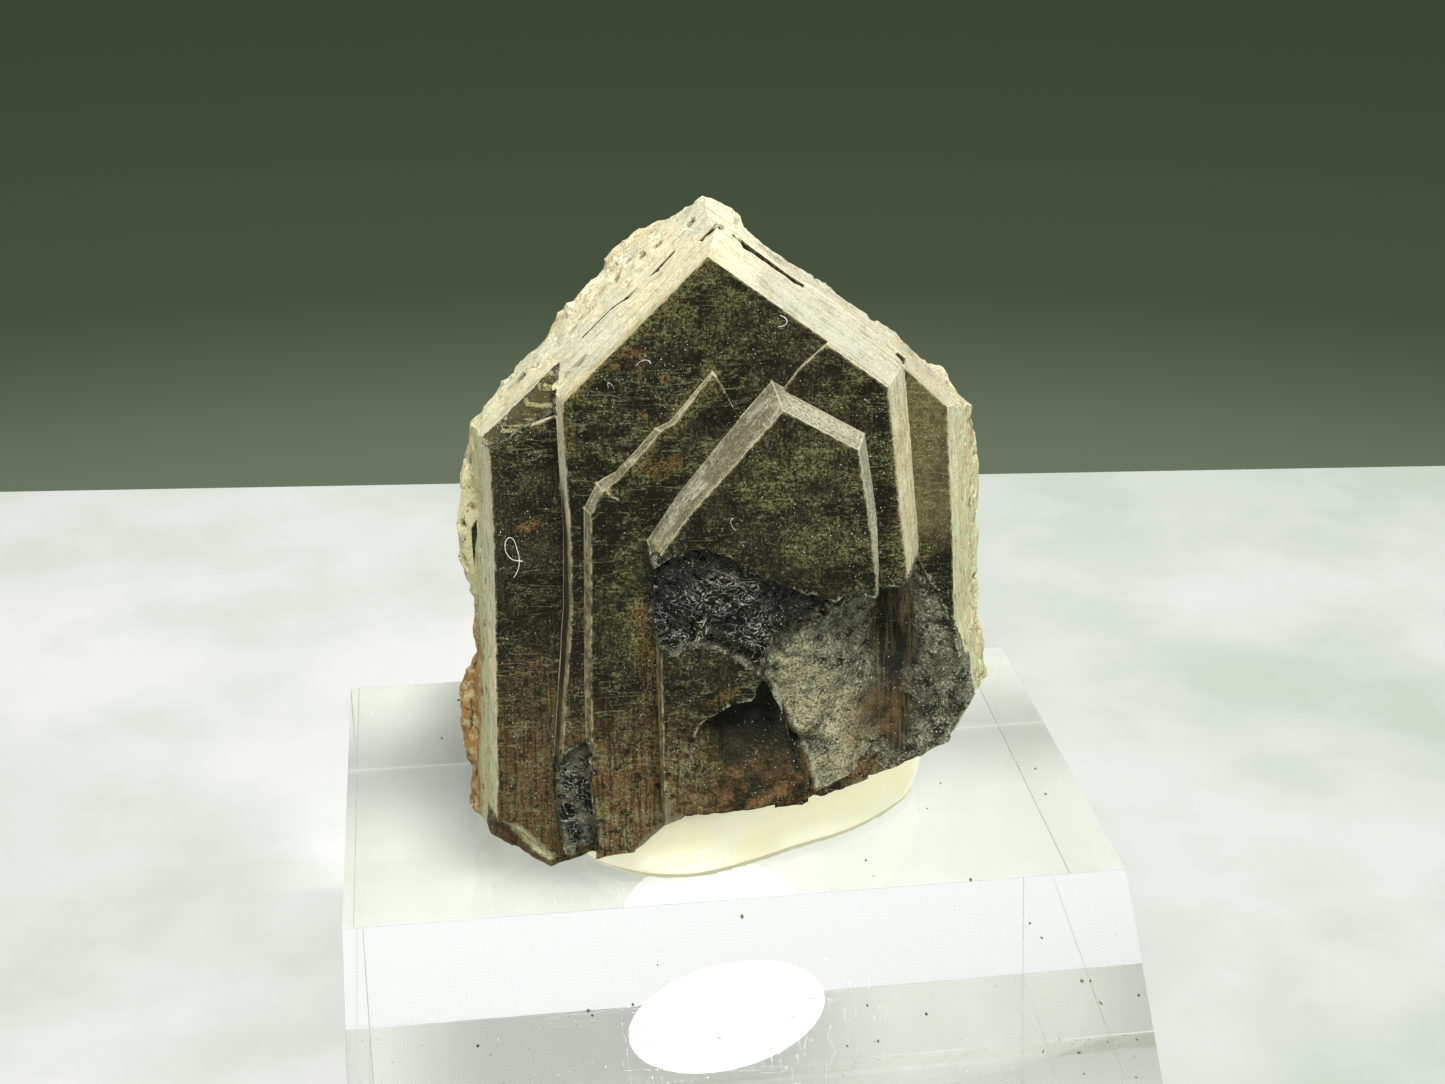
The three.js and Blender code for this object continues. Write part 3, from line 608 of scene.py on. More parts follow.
u, v, w = spots.T
glassy = ease(inside(spots, GLASSY_PATCH), -0.1, 0.3)
red = np.maximum(ease(inside(spots, RED_PLATE), -0.1, 0.3), ease(inside(spots, BROKEN_TIP), -0.1, 0.2))
black = ease(inside(spots, BLACK_CHIP), -0.1, 0.2)
ledges = ease(inside(spots, LEDGE_CORNER), -0.1, 0.4)
other_break = np.clip(1 - glassy - red - black - ledges, 0, 1)

# Growth faces: faint swells, upright growth lines and small pits.
lined = np.stack([u * 3.2, v * 0.18, w], axis=1)
face_move = rough(spots, 5.0, 3) * 0.035 + rough(spots, 1.0, 8, 2) * 0.014 + swell(lined, 1.0, 12) * 0.018
pits = np.clip(swell(spots, 0.8, 15) - 0.62, 0, 1) * -0.20
face_move += pits

# Growth edges: thin sheets lie one behind another, so they weather to ledges
# that run along the edge, and the older rear ones are pitted.
along = np.where(np.abs(normals[:, 0]) > 0.9, v, u)
sheet = w + swell(spots, 4.0, 21) * 0.15
sheets = np.stack([along * 0.16, np.zeros(len(u)), sheet * 2.3], axis=1)
ledge = swell(sheets, 1.0, 24)
ledge = np.sign(ledge) * ease(np.abs(ledge), 0.05, 0.30)
weathered = ease(-w, 1.2, 5.0)
older = ease(-w, 3.0, 7.0)
flank_move = ledge * (0.030 + 0.06 * weathered) + rough(spots, 0.9, 30, 2) * 0.026
holes = np.clip(rough(spots * np.array([1, 1, 1.7]), 0.75, 34, 2) - 0.42, 0, 0.5)
flank_move += weathered * (-holes * 0.75 + rough(spots, 1.5, 33, 3) * 0.06)
flank_move += older * (shards(spots, 1.3, 37, 0.24) * 0.55 + rough(spots, 2.4, 39, 3) * 0.12)

# Breaks: hackly black glass, a dull crumbly corner, a smoother red plate.
break_move = glassy * (shards(spots, 0.95, 41, 0.26) * 0.60 + shards(spots, 0.5, 44, 0.2) * 0.16)
groove = np.clip(soft_patches(spots, SHADED_GROOVE), 0, 1)
ridge = np.clip(soft_patches(spots, TAN_RIDGE), 0, 1)
crumbled = rough(spots, 0.8, 47, 3) * 0.07 + shards(spots, 1.7, 50, 0.24) * 0.75 * (1 - 0.6 * ridge)
crumbled += rough(spots, 2.8, 52, 2) * 0.20
fluted = swell(np.stack([u * 1.7, v * 0.22, w * 0.3], axis=1), 1.0, 54) * 0.22
fluted += rough(spots, 0.7, 57, 2) * 0.05 - 0.30 * ease(v, 9.5, 13.0)
break_move += other_break * (crumbled * (1 - groove) + fluted * groove)
in_plate = inside(spots, RED_PLATE)
uneven = rough(spots, 1.6, 58, 3) * 0.9
# The hollow under the red plate's upper edge is sunk, and its colour is painted black as painted shade.
hollow = ease(in_plate, 0.02, 0.20) * ease(v + 0.35 * (u - 12) + uneven, 10.6, 12.8)
plate_edge = ease(0.20 + in_plate, 0.0, 0.1) * ease(0.02 - in_plate, 0.0, 0.06) * ease(u, 12.9, 13.3)
break_move += red * (rough(spots, 1.3, 53, 3) * 0.09 + shards(spots, 1.3, 55, 0.16) * 0.22 - 0.32 * hollow)
break_move += black * (shards(spots, 0.6, 56, 0.16) * 0.5 + rough(spots, 0.8, 59, 2) * 0.04)
ledge_lines = np.stack([u * 0.16, (v - 0.35 * u) * 2.4, w * 0.6], axis=1)
break_move += ledges * ease(0.9 - u, 0, 0.8) * swell(ledge_lines, 1.0, 62) * 0.09

# Rear: an uneven old break with lumps and hollows.
rear_move = rough(spots, 3.6, 71, 4) * 0.28 + shards(spots, 1.7, 74, 0.24) * 0.85
rear_move += rough(spots, 0.9, 77, 2) * 0.08
rear_move -= np.clip(rough(spots, 1.1, 79, 2) - 0.45, 0, 0.5) * 0.6

moved = on_face * face_move + on_flank * flank_move + on_break * break_move + on_rear * rear_move
worn = spread(crests, 1)
chips = np.clip(rough(spots, 0.7, 81, 3) - 0.10, 0, 1)
low_edge = ease(9.0 - v, 0, 1.5)
nibble = 0.012 + 0.17 * chips * (0.55 + on_rear + 0.5 * on_flank + 1.3 * low_edge)
moved -= np.minimum(worn, 0.8) * nibble
foot = ease(v, 0.0, 0.9)
moved = np.where(moved > 0, moved * foot, moved)
shaped = spots + normals * moved[:, None]
shaped[:, 1] = np.clip(shaped[:, 1], 0.08, spots[:, 1].max())

rim_stain = ease(1.1 - to_crest, 0.0, 0.9) * ease(11.0 - u, 0, 0.8) * ease(v, 29.0, 31.0) * (w > 1.5)
olive = np.clip(np.maximum(soft_patches(spots, OLIVE_STAINS), rim_stain * 1.5), 0, 1.6)
amber = np.clip(np.maximum(soft_patches(spots, AMBER_STAINS), rim_stain * 0.35), 0, 1.6)
rust = soft_patches(spots, RUST_STAINS)
# Where the black breaks get pale wisps of painted glint.
wisps = soft_patches(spots, GLINT_WISPS)
pale_strip = ease(inside(spots, PALE_STRIP), -0.15, 0.1)
patch = rough(spots, 3.4, 321, 5, 0.62) * 0.5 + 0.5
bottom_rim = ease(0.42 - to_crest, 0, 0.30) * ease(8.2 - v, 0, 0.4) * ease(u, 5.0, 6.0) * (w > 0.5)
bottom_rim *= (1 - red) * ease(v - 3.4, 0.0, 0.6)
lower = ease(17.6 + 0.35 * (u + 2.8) - v + rough(spots, 1.2, 331, 2) * 0.2, 0, 0.5) * ease(2.2 - u, 0, 0.3)

crystal_mesh = bpy.data.meshes.new("euxenite_crystal")
crystal_mesh.from_pydata(from_growth(shaped).tolist(), [], corners.tolist())
crystal_mesh.update()
growth_place = crystal_mesh.attributes.new("growth", "FLOAT_VECTOR", "POINT")
growth_place.data.foreach_set("vector", spots.astype(np.float32).ravel())


def write_layers(where, **layers):
    """Writes layers of values on the stone, for its finish to read."""
    for name, values in layers.items():
        layer = crystal_mesh.attributes.new(name, "FLOAT", where)
        layer.data.foreach_set("value", values.astype(np.float32))


write_layers("POINT", to_crest=to_crest, glassy=glassy, red=red, black=black, relief=moved, olive=olive,
             amber=amber, rust=rust, wisps=wisps, hollow=hollow, pale_strip=pale_strip, patch=patch,
             lower=lower, weathered=weathered, ledges=ledges, groove=groove, ridge=ridge,
             bottom_rim=bottom_rim, plate_edge=plate_edge, breaking=on_break)

# The middle terrace is nearly flush with the roof behind it, so the narrow
# ledge between them is weathered too.
middles = spots[corners].mean(axis=1)
flush_ledge = (face_kinds == 0) & (np.abs(middles[:, 2]) < FLUSH) & (middles[:, 1] > FLUSH_ABOVE)
flush_ledge &= (middles[:, 0] > FLUSH_LEFT) & (middles[:, 0] < FLUSH_RIGHT)
is_flank = (face_kinds == 1) | flush_ledge
write_layers("FACE", flank=is_flank, roof=is_flank & (face_normals[:, 1] > 0.3), rear=face_kinds == 3)
crystal_mesh.polygons.foreach_set("use_smooth", [True] * len(crystal_mesh.polygons))
crystal_mesh.set_sharp_from_angle(angle=SHARP_EDGE)

# ---- Crystal: finish ----
# Brown-black faces with olive, amber and rusty stains and fine scratches. The
# growth edges are weathered to a pale skin of fine sheets, and fresh breaks
# are black glass.

FACE_BLACK = (0.0040, 0.0040, 0.0024)
FACE_BROWN = (0.015, 0.017, 0.006)
FACE_PALE = (0.270, 0.275, 0.140)
STAIN_OLIVE = (0.078, 0.076, 0.026)
STAIN_AMBER = (0.135, 0.088, 0.026)
STAIN_RUST = (0.150, 0.080, 0.032)
STAIN_BROWN = (0.042, 0.031, 0.014)
LOW_EARTH = (0.210, 0.165, 0.072)
SKIN_PALE = (0.80, 0.745, 0.51)
SKIN_GREEN = (0.60, 0.64, 0.37)
SKIN_GREY = (0.66, 0.67, 0.50)
SHADED_ROOF_SKIN = (0.47, 0.49, 0.40)
SIDE_GREEN = (0.55, 0.58, 0.36)
SKIN_TAN = (0.60, 0.53, 0.30)
SKIN_GOLD = (0.40, 0.31, 0.12)
SKIN_SEAM = (0.085, 0.070, 0.034)
SKIN_BUFF = (0.36, 0.30, 0.14)
STEP_LILAC = (0.19, 0.175, 0.110)
STEP_PALE = (0.47, 0.46, 0.33)
BREAK_TAN = (0.34, 0.315, 0.18)
BREAK_GREY = (0.165, 0.170, 0.108)
BREAK_DARK = (0.014, 0.012, 0.008)
GLASS_BLACK = (0.006, 0.006, 0.006)
GLINT_PALE = (0.42, 0.42, 0.37)
LEDGE_TAN = (0.38, 0.35, 0.16)
LEDGE_OLIVE = (0.060, 0.048, 0.022)
REAR_ORANGE = (0.30, 0.150, 0.036)
REAR_PINK = (0.60, 0.42, 0.27)
SPOT_LEVEL = 0.60
STONE_RELIEF = 0.00022
STONE_GLOSS = 0.15
STONE_GLOSS_TINT = (0.97, 0.95, 0.72)

stone_finish = new_finish("euxenite")


def layer_of(name, kind="Fac"):
    return put("ShaderNodeAttribute", {"attribute_name": name}).outputs[kind]


def coats(under, *layers):
    """Colours laid over one another, each given as its share and itself."""
    for share, colour in layers:
        under = blend_colours(share, under, colour)
    return under


def line_where(value, width):
    """A thin line where a cloudy value crosses its middle."""
    return fade(calc("ABSOLUTE", calc("SUBTRACT", value, 0.5)), 0.0, width, 1.0, 0.0)


place = layer_of("growth", "Vector")
split = put("ShaderNodeSeparateXYZ", Vector=place)
across, up, out_of = split.outputs
to_rim = layer_of("to_crest")
patchy = layer_of("patch")
flank = layer_of("flank")
rear_here = layer_of("rear")
aged = layer_of("weathered")

# Patterns shared by the whole stone: crumbs, fine grain, soft clouds, wavy
# streaks, straight upright lines, and thin seams between the sheets.
crumbs = cloud(place, 1.5, 4, 0.72)
grain = cloud(stretch(place, (1, 1, 1), shift=(5, 9, 3)), 6.0, 2, 0.85)
clouds = cloud(stretch(place, (0.55, 0.70, 1.0), (0, 0, -0.2), (7, 1, 2)), 1.0, 6, 0.68, 0.4)
streaks = cloud(stretch(place, (0.22, 1.1, 1.0), (0, 0, -0.20)), 1.0, 3, 0.60, 1.1)
uprights = cloud(stretch(place, (4.2, 0.22, 1.0)), 1.0, 3, 0.7)
seams = cloud(stretch(place, (0.13, 0.13, 4.2)), 1.0, 4, 0.66, 0.25)


def spotted(share, pattern, soft):
    """Breaks a soft stain into crisp irregular spots."""
    lifted = calc("ADD", pattern, times(share, 0.16))
    return fade(lifted, SPOT_LEVEL - soft, SPOT_LEVEL + soft)


# A break starts along a crumbly line.
crumbly_line = calc("ADD", layer_of("breaking"), calc("MULTIPLY_ADD", crumbs, 1.6, -0.8))
broken_here = fade(crumbly_line, 0.42, 0.50)

# Faces.
face = coats(
    FACE_BLACK,
    (fade(clouds, 0.47, 0.62), FACE_BROWN),
    (fade(patchy, 0.52, 0.72, 0.0, 0.30), STAIN_BROWN))
mottled = calc("MULTIPLY_ADD", clouds, 0.55, times(crumbs, 0.45))
olive_share = times(spotted(layer_of("olive"), mottled, 0.09), fade(grain, 0.40, 0.60, 0.35, 1.0))
face = coats(face, (olive_share, STAIN_OLIVE))
low_rust = times(fade(up, 16.0, 8.0, 0.0, 0.95), fade(crumbs, 0.36, 0.50))
earthy = coats(STAIN_RUST, (fade(clouds, 0.44, 0.58), LOW_EARTH))
face = coats(face, (low_rust, earthy))
rust_share = spotted(layer_of("rust"), crumbs, 0.10)
face = coats(face, (times(rust_share, fade(layer_of("rust"), 0.05, 0.5)), STAIN_RUST))
lower_share = times(layer_of("lower"), fade(crumbs, 0.42, 0.62, 0.10, 0.50))
face = coats(face, (lower_share, STAIN_BROWN))
amber = layer_of("amber")
amber_spots = spotted(amber, most(crumbs, uprights), 0.09)
amber_share = times(fade(amber, 0.10, 0.60), amber_spots)
face = coats(face, (times(amber_share, 0.80), STAIN_AMBER))
lined_dark = times(fade(uprights, 0.52, 0.44), fade(up, 21.0, 17.0, 0.0, 0.6))
face = coats(face, (lined_dark, FACE_BLACK))
dark_grains = times(fade(grain, 0.53, 0.41, 0.0, 0.90), fade(up, 15.0, 7.0, 1.0, 0.62))
face = coats(face, (dark_grains, FACE_BLACK))
freckles = times(fade(grain, 0.56, 0.68), fade(clouds, 0.42, 0.60, 0.35, 0.90))
face = coats(face, (times(freckles, 0.48), FACE_PALE))

# Pale scratches: wavy ones near level, straight ones upright, a few slanting.
wavy = times(line_where(streaks, 0.020), fade(clouds, 0.42, 0.60))
upright = times(line_where(uprights, 0.050), fade(patchy, 0.50, 0.64))
slant = cloud(stretch(place, (0.14, 1.3, 1.0), (0, 0, -0.75), (4, 2, 0)), 1.0, 2, 0.5)
slanting = times(line_where(slant, 0.014), fade(patchy, 0.56, 0.42))
scratched = most(times(upright, 0.12), times(slanting, 0.40))
scratched = most(times(wavy, 0.46), scratched)
right_strip = times(fade(across, 21.4, 21.9, 0.0, 0.27), fade(up, 22.8, 24.6))
right_strip = times(right_strip, fade(crumbs, 0.34, 0.66, 0.4, 1.0))
face = coats(face, (right_strip, SKIN_BUFF))
scratched = times(scratched, fade(grain, 0.36, 0.56, 0.15, 1.0))
face = coats(face, (scratched, FACE_PALE))
# Pale rims along the crests of the faces are painted highlight.
crest_highlight = times(fade(to_rim, 0.02, 0.15, 1.0, 0.0), fade(crumbs, 0.44, 0.58, 0.1, 0.90))
face = coats(face, (crest_highlight, SKIN_BUFF), (times(layer_of("bottom_rim"), 0.85), BREAK_GREY))

# Growth edges: pale skin, greener on the left and the sides, with dark seams.
skin = coats(SKIN_PALE, (fade(patchy, 0.36, 0.66), SKIN_GREY))
# The right roof is painted a darker, cooler skin: painted shade, as the lamps on its right light it more.
shaded_right_roof = times(layer_of("roof"), fade(across, 12.2, 13.4))
skin = coats(skin, (times(shaded_right_roof, 0.85), SHADED_ROOF_SKIN))
flaky = cloud(stretch(place, (0.40, 0.40, 1.9), shift=(6, 2, 5)), 1.0, 5, 0.70, 0.5)
skin = coats(
    skin,
    (fade(flaky, 0.47, 0.62, 0.0, 0.50), SKIN_TAN),
    (fade(flaky, 0.46, 0.34, 0.0, 0.45), SKIN_GREEN))
right_side = fade(across, 24.2, 25.2, 0.0, 0.80)
side_share = most(fade(across, -3.4, -3.9), right_side)
side_tone = coats(SKIN_GREEN, (fade(flaky, 0.44, 0.62), SIDE_GREEN))
skin = coats(skin, (side_share, side_tone))
tan_share = times(fade(across, 18.0, 24.5, 0.05, 0.6), fade(crumbs, 0.44, 0.62))
skin = coats(
    skin,
    (tan_share, SKIN_TAN),
    (times(layer_of("olive"), 0.25), SKIN_BUFF),
    (fade(grain, 0.50, 0.36, 0.0, 0.55), SKIN_BUFF))
thin_seams = times(line_where(seams, 0.040), fade(clouds, 0.46, 0.58, 0.10, 0.65))
skin = coats(skin, (thin_seams, SKIN_SEAM))
gold_rim = times(layer_of("roof"), times(fade(out_of, 1.1, 2.2), fade(across, 9.3, 6.0)))
gold_rim = times(gold_rim, fade(crumbs, 0.40, 0.56, 0.10, 0.80))
skin = coats(skin, (gold_rim, SKIN_GOLD), (fade(seams, 0.58, 0.68, 0.0, 0.45), SKIN_BUFF))
side_lines = times(side_share, times(line_where(seams, 0.045), fade(crumbs, 0.40, 0.54)))
skin = coats(skin, (times(side_lines, 0.75), SKIN_BUFF))
slots = cloud(stretch(place, (1.6, 0.8, 2.6), shift=(9, 3, 7)), 1.0, 3, 0.6)
skin = coats(skin, (times(side_share, fade(slots, 0.60, 0.66, 0.0, 0.9)), SKIN_SEAM))
rough_right = fade(across, 11.0, 14.0, 0.35, 0.85)
pitted = times(fade(crumbs, 0.60, 0.66), times(aged, rough_right))
skin = coats(skin, (pitted, SKIN_SEAM))
pink_share = times(fade(out_of, -1.2, -2.6), fade(across, 12.5, 15.5))
pink_share = times(times(pink_share, 0.5), fade(crumbs, 0.50, 0.58))
skin = coats(skin, (pink_share, REAR_PINK))
step_tone = most(fade(across, 13.6, 15.0, 0.0, 0.9), fade(clouds, 0.45, 0.65))
step_skin = coats(
    STEP_LILAC,
    (step_tone, STEP_PALE),
    (fade(seams, 0.50, 0.62, 0.0, 0.45), BREAK_GREY),
    (fade(grain, 0.50, 0.36, 0.0, 0.75), STAIN_OLIVE),
    (fade(grain, 0.56, 0.68, 0.0, 0.35), SKIN_TAN))
on_steps = times(fade(out_of, 2.43, 2.50), flank)
skin = coats(skin, (on_steps, step_skin))
left_step = times(fade(across, 9.5, 7.0), fade(out_of, 0.05, 0.3))
stained_edge = times(left_step, fade(up, 27.5, 22.5, 0.0, 0.80))
edge_stain = coats(SKIN_SEAM, (fade(crumbs, 0.44, 0.58), SKIN_BUFF))
skin = coats(skin, (stained_edge, edge_stain))
# Behind the left step's lower edge the skin takes the face's dark colour, as painted shade.
shade_behind_edge = times(fade(out_of, 1.75, 1.25), times(left_step, fade(up, 28.5, 25.5, 0.0, 0.92)))
# The skin then takes that painted shade, and right at its crests a paler painted highlight.
skin = coats(
    skin,
    (times(shade_behind_edge, fade(across, 3.0, 2.2)), face),
    (fade(to_rim, 0.0, 0.10, 0.50, 0.0), SKIN_PALE))

# Breaks and rear.
rocky = cloud(stretch(place, (1, 1, 1), shift=(1, 4, 8)), 0.9, 5, 0.62)
crumbly = coats(BREAK_DARK, (fade(rocky, 0.37, 0.54), BREAK_GREY))
tanned = coats(BREAK_GREY, (fade(rocky, 0.34, 0.56), BREAK_TAN))
crumbly = coats(
    crumbly,
    (layer_of("ridge"), tanned),
    (fade(grain, 0.50, 0.38, 0.0, 0.80), BREAK_DARK),
    (fade(crumbs, 0.44, 0.36, 0.0, 0.80), BREAK_DARK),
    (times(fade(grain, 0.57, 0.68), 0.55), SKIN_GREY))
shaded = coats(GLASS_BLACK, (fade(uprights, 0.46, 0.60), LEDGE_OLIVE))
crumbly = coats(crumbly, (times(layer_of("groove"), 0.97), shaded))
rusty = times(layer_of("rust"), fade(rocky, 0.40, 0.60, 0.25, 0.90))
crumbly = coats(crumbly, (rusty, STAIN_RUST))
edge_light = times(layer_of("plate_edge"), fade(crumbs, 0.42, 0.56, 0.15, 0.70))
crumbly = coats(crumbly, (edge_light, STEP_PALE))
# Pale wisps and grains on the black glass are painted glints.
glint_cloud = cloud(stretch(place, (0.8, 1.0, 0.8), shift=(2, 8, 1)), 1.0, 2, 0.55, 2.8)
glinting = times(line_where(glint_cloud, 0.024), fade(layer_of("wisps"), 0.0, 0.8, 0.15, 0.95))
glass = coats(
    GLASS_BLACK,
    (fade(crumbs, 0.52, 0.64, 0.0, 0.8), FACE_BROWN),
    (fade(grain, 0.62, 0.72, 0.0, 0.22), GLINT_PALE),
    (glinting, GLINT_PALE))
broken = coats(crumbly, (layer_of("glassy"), glass))
reddish = times(fade(rocky, 0.38, 0.58), fade(up, 11.5, 8.0, 0.15, 1.0))
# The plate's hollow is painted black: painted shade.
reddish = coats(
    FACE_BROWN,
    (reddish, STAIN_RUST),
    (fade(clouds, 0.52, 0.40, 0.0, 0.6), FACE_BLACK),
    (fade(grain, 0.50, 0.38, 0.0, 0.70), FACE_BLACK),
    (times(freckles, 0.35), FACE_PALE),
    (times(layer_of("hollow"), 0.95), GLASS_BLACK),
    (fade(across, 11.2, 9.4, 0.0, 0.9), face))
broken = coats(broken, (layer_of("red"), reddish))
chipped = coats(glass, (fade(rocky, 0.46, 0.60, 0.0, 0.6), BREAK_GREY))
broken = coats(broken, (layer_of("black"), chipped))
sheet_ends = cloud(stretch(place, (0.16, 2.3, 0.6), (0, 0, -0.42)), 1.0, 4, 0.60, 0.3)
laid = coats(
    STAIN_OLIVE,
    (fade(sheet_ends, 0.42, 0.60), LEDGE_TAN),
    (times(line_where(sheet_ends, 0.070), 0.90), BREAK_DARK),
    (fade(grain, 0.50, 0.38, 0.0, 0.5), FACE_BROWN))
broken = coats(broken, (layer_of("ledges"), laid))
rear = coats(
    SKIN_PALE,
    (fade(patchy, 0.36, 0.66), SKIN_TAN),
    (fade(crumbs, 0.56, 0.66, 0.0, 0.5), SKIN_SEAM),
    (fade(grain, 0.52, 0.38, 0.0, 0.75), SKIN_BUFF))

colour = coats(
    face,
    (flank, skin),
    (broken_here, broken),
    (rear_here, rear))
pale = most(flank, rear_here)
left_rear = times(fade(across, -3.3, -4.3), fade(out_of, -2.6, -4.2))
tan_rear = times(times(left_rear, pale), 0.75)
colour = coats(colour, (times(tan_rear, fade(grain, 0.40, 0.52)), SKIN_TAN))
uneven_up = calc("MULTIPLY_ADD", clouds, 14.0, up)
orange_share = times(times(left_rear, pale), fade(uneven_up, 25.5, 20.0, 0.0, 0.92))
orange_share = times(orange_share, fade(crumbs, 0.58, 0.46, 0.45, 1.0))
colour = coats(colour, (orange_share, REAR_ORANGE))
strip = times(layer_of("pale_strip"), fade(out_of, -2.0, -1.2))
strip_colour = coats(SKIN_BUFF, (fade(grain, 0.40, 0.55), SKIN_GREEN))
colour = coats(colour, (strip, strip_colour))
# Sunk places on the pale parts are painted darker: painted shade in the hollows.
sunk_shade = times(fade(layer_of("relief"), -0.08, -0.30, 0.0, 0.75), pale)
colour = coats(colour, (sunk_shade, SKIN_SEAM))

dullness = fade(crumbs, 0.35, 0.65, 0.42, 0.62)
dullness = calc("ADD", dullness, times(pale, 0.3))
shiny = times(most(layer_of("glassy"), layer_of("black")), broken_here)
dullness = calc("SUBTRACT", dullness, times(shiny, 0.28))
height = calc("ADD", times(grain, 0.35), times(crumbs, 0.7))
height = times(height, calc("ADD", times(most(pale, broken_here), 0.6), 0.4))
height = calc("ADD", height, times(times(seams, flank), -1.1))
height = calc("ADD", height, times(times(rocky, most(broken_here, rear_here)), 1.6))
relief = put("ShaderNodeBump", Strength=0.90, Distance=STONE_RELIEF, Height=height)
surfaced(relief, Base_Color=colour, Roughness=dullness, IOR=1.52, Specular_IOR_Level=STONE_GLOSS,
         Specular_Tint=colour_of(STONE_GLOSS_TINT))
crystal_mesh.materials.append(stone_finish)

crystal = placed("euxenite_crystal", crystal_mesh)
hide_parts("crystal")
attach(crystal, "root")

# ---- Mineral tack ----
# A wedge of pale putty pressed on the block by hand. The crystal is pushed into
# it, so it meets the stone all along its upper edge.

TACK_GRID = 0.00034
TACK_PALE = (0.99, 0.950, 0.725)
TACK_DEEP = (0.93, 0.88, 0.46)
TACK_CONTACT_DARK = (0.20, 0.18, 0.055)
TACK_BITE = 0.00012
TACK_GAP = 0.00055
TACK_DENTS = 0.16
FREE_FROM = 17.5
FREE_TO = 18.6
CONTACT_DARK_FULL = 0.00042
CONTACT_DARK_END = 0.00058
TACK_PAINTED_GLOW = 0.33
TACK_DEPTH = 0.0030

tack_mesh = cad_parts["mineral_tack"].data.copy()
tack_mesh.name = "tack_wedge"
putty = bmesh.new()
putty.from_mesh(tack_mesh)
bmesh.ops.remove_doubles(putty, verts=putty.verts, dist=MERGE)
putty.to_mesh(tack_mesh)
putty.free()
tack_mesh.materials.clear()
tack_wedge = placed("tack_wedge", tack_mesh)
even = tack_wedge.modifiers.new("even", "REMESH")
even.mode = "VOXEL"
even.voxel_size = TACK_GRID
soften = tack_wedge.modifiers.new("soften", "SMOOTH")
soften.iterations = 4
depsgraph = bpy.context.evaluated_depsgraph_get()
pressed = bpy.data.meshes.new_from_object(tack_wedge.evaluated_get(depsgraph))
tack_wedge.modifiers.clear()
tack_wedge.data = pressed

stone_tree = BVHTree.FromPolygons([v.co for v in crystal_mesh.vertices],
                                  [tuple(p.vertices) for p in crystal_mesh.polygons])
tack_points = np.array([v.co for v in pressed.vertices])
tack_normals = np.array([v.normal for v in pressed.vertices])
dents = rough(tack_points / MM, 4.0, 91, 3) * TACK_DENTS + rough(tack_points / MM, 0.9, 95, 2) * 0.02
free = ease(tack_points[:, 2] / MM, FREE_FROM, FREE_TO)
tack_points = tack_points + tack_normals * (dents * free)[:, None] * MM
for n, point in enumerate(tack_points):
    near, _, _, gap = stone_tree.find_nearest(Vector(point))
    if gap is not None and gap < TACK_GAP:
        reach = (np.array(near) - point) * (1 + TACK_BITE / max(gap, 1e-6))
        point += reach * ease(np.array([TACK_GAP - gap]), 0.0, TACK_GAP * 0.3)[0]
tack_points[:, 2] = np.maximum(tack_points[:, 2], BLOCK_HEIGHT + 0.00002)
pressed.vertices.foreach_set("co", tack_points.ravel())
pressed.update()
pressed.polygons.foreach_set("use_smooth", [True] * len(pressed.polygons))

tack_finish = new_finish("mineral_tack")
place = put("ShaderNodeTexCoord").outputs["Object"]
tone = fade(cloud(place, 260, 4), 0.35, 0.7)
height_above = put("ShaderNodeSeparateXYZ", Vector=place).outputs[2]
# The tack is darker in a thin line along its foot, where it meets the block.
contact = fade(height_above, BLOCK_HEIGHT + CONTACT_DARK_FULL, BLOCK_HEIGHT + CONTACT_DARK_END, 0.92, 0.0)
shade = blend_colours(times(tone, 0.60), TACK_PALE, TACK_DEEP)
shade = blend_colours(contact, shade, TACK_CONTACT_DARK)
relief = put("ShaderNodeBump", Strength=0.35, Distance=0.00008,
             Height=cloud(place, 1400, 3))
# The tack's emission is a painted glow, standing in for light that reaches it through the clear block and
# the translucent putty.
surfaced(relief, Base_Color=shade, Roughness=0.26, Emission_Color=colour_of(TACK_PALE),
         Emission_Strength=TACK_PAINTED_GLOW, Subsurface_Weight=0.85, Subsurface_Radius=(1.0, 0.85, 0.4),
         Subsurface_Scale=TACK_DEPTH)
pressed.materials.clear()
pressed.materials.append(tack_finish)
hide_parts("mineral_tack")
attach(tack_wedge, "root")

# ---- Dust, lint and grit ----
# Loose house dust lies on the stone and the block: pale grains, short bent
# fibres, one longer looped thread on the left of the face, brown grit.

DUST_PALE = (0.78, 0.77, 0.66)
LINT_WHITE = (0.88, 0.88, 0.82)
GRIT_BROWN = (0.16, 0.115, 0.05)
STONE_DUST_SIZE = 0.000024
STONE_DUST_PER_M2 = 1900000.0
BLOCK_DUST_SIZE = 0.000045
BLOCK_DUST_PER_M2 = 90000.0
GRIT_SIZE = 0.00010
GRIT_PER_M2 = 24000.0
STONE_DUST_LOWEST = 0.0175
STONE_DUST_HIGHEST = 0.0598
BLOCK_DUST_REACH = 0.0243
FLAT_HALVINGS = 5
UPWARD_ENOUGH = 0.35
DRIFTS_PER_METRE = 260.0
FIBRE_THICKNESS = 0.000016
FIBRES_PER_M2 = 9000.0
LOOP_THICKNESS = 0.000024
LOOP_PATH = [(-1.30, 21.95, 0.05), (-1.20, 22.05, 0.16), (-1.45, 22.10, 0.24), (-1.85, 22.25, 0.28),
             (-2.15, 22.70, 0.28), (-2.18, 23.25, 0.26), (-1.95, 23.62, 0.22), (-1.66, 23.45, 0.20),
             (-1.50, 22.90, 0.20), (-1.38, 22.30, 0.22), (-1.42, 21.70, 0.20), (-1.60, 21.20, 0.14),
             (-1.78, 20.90, 0.05)]


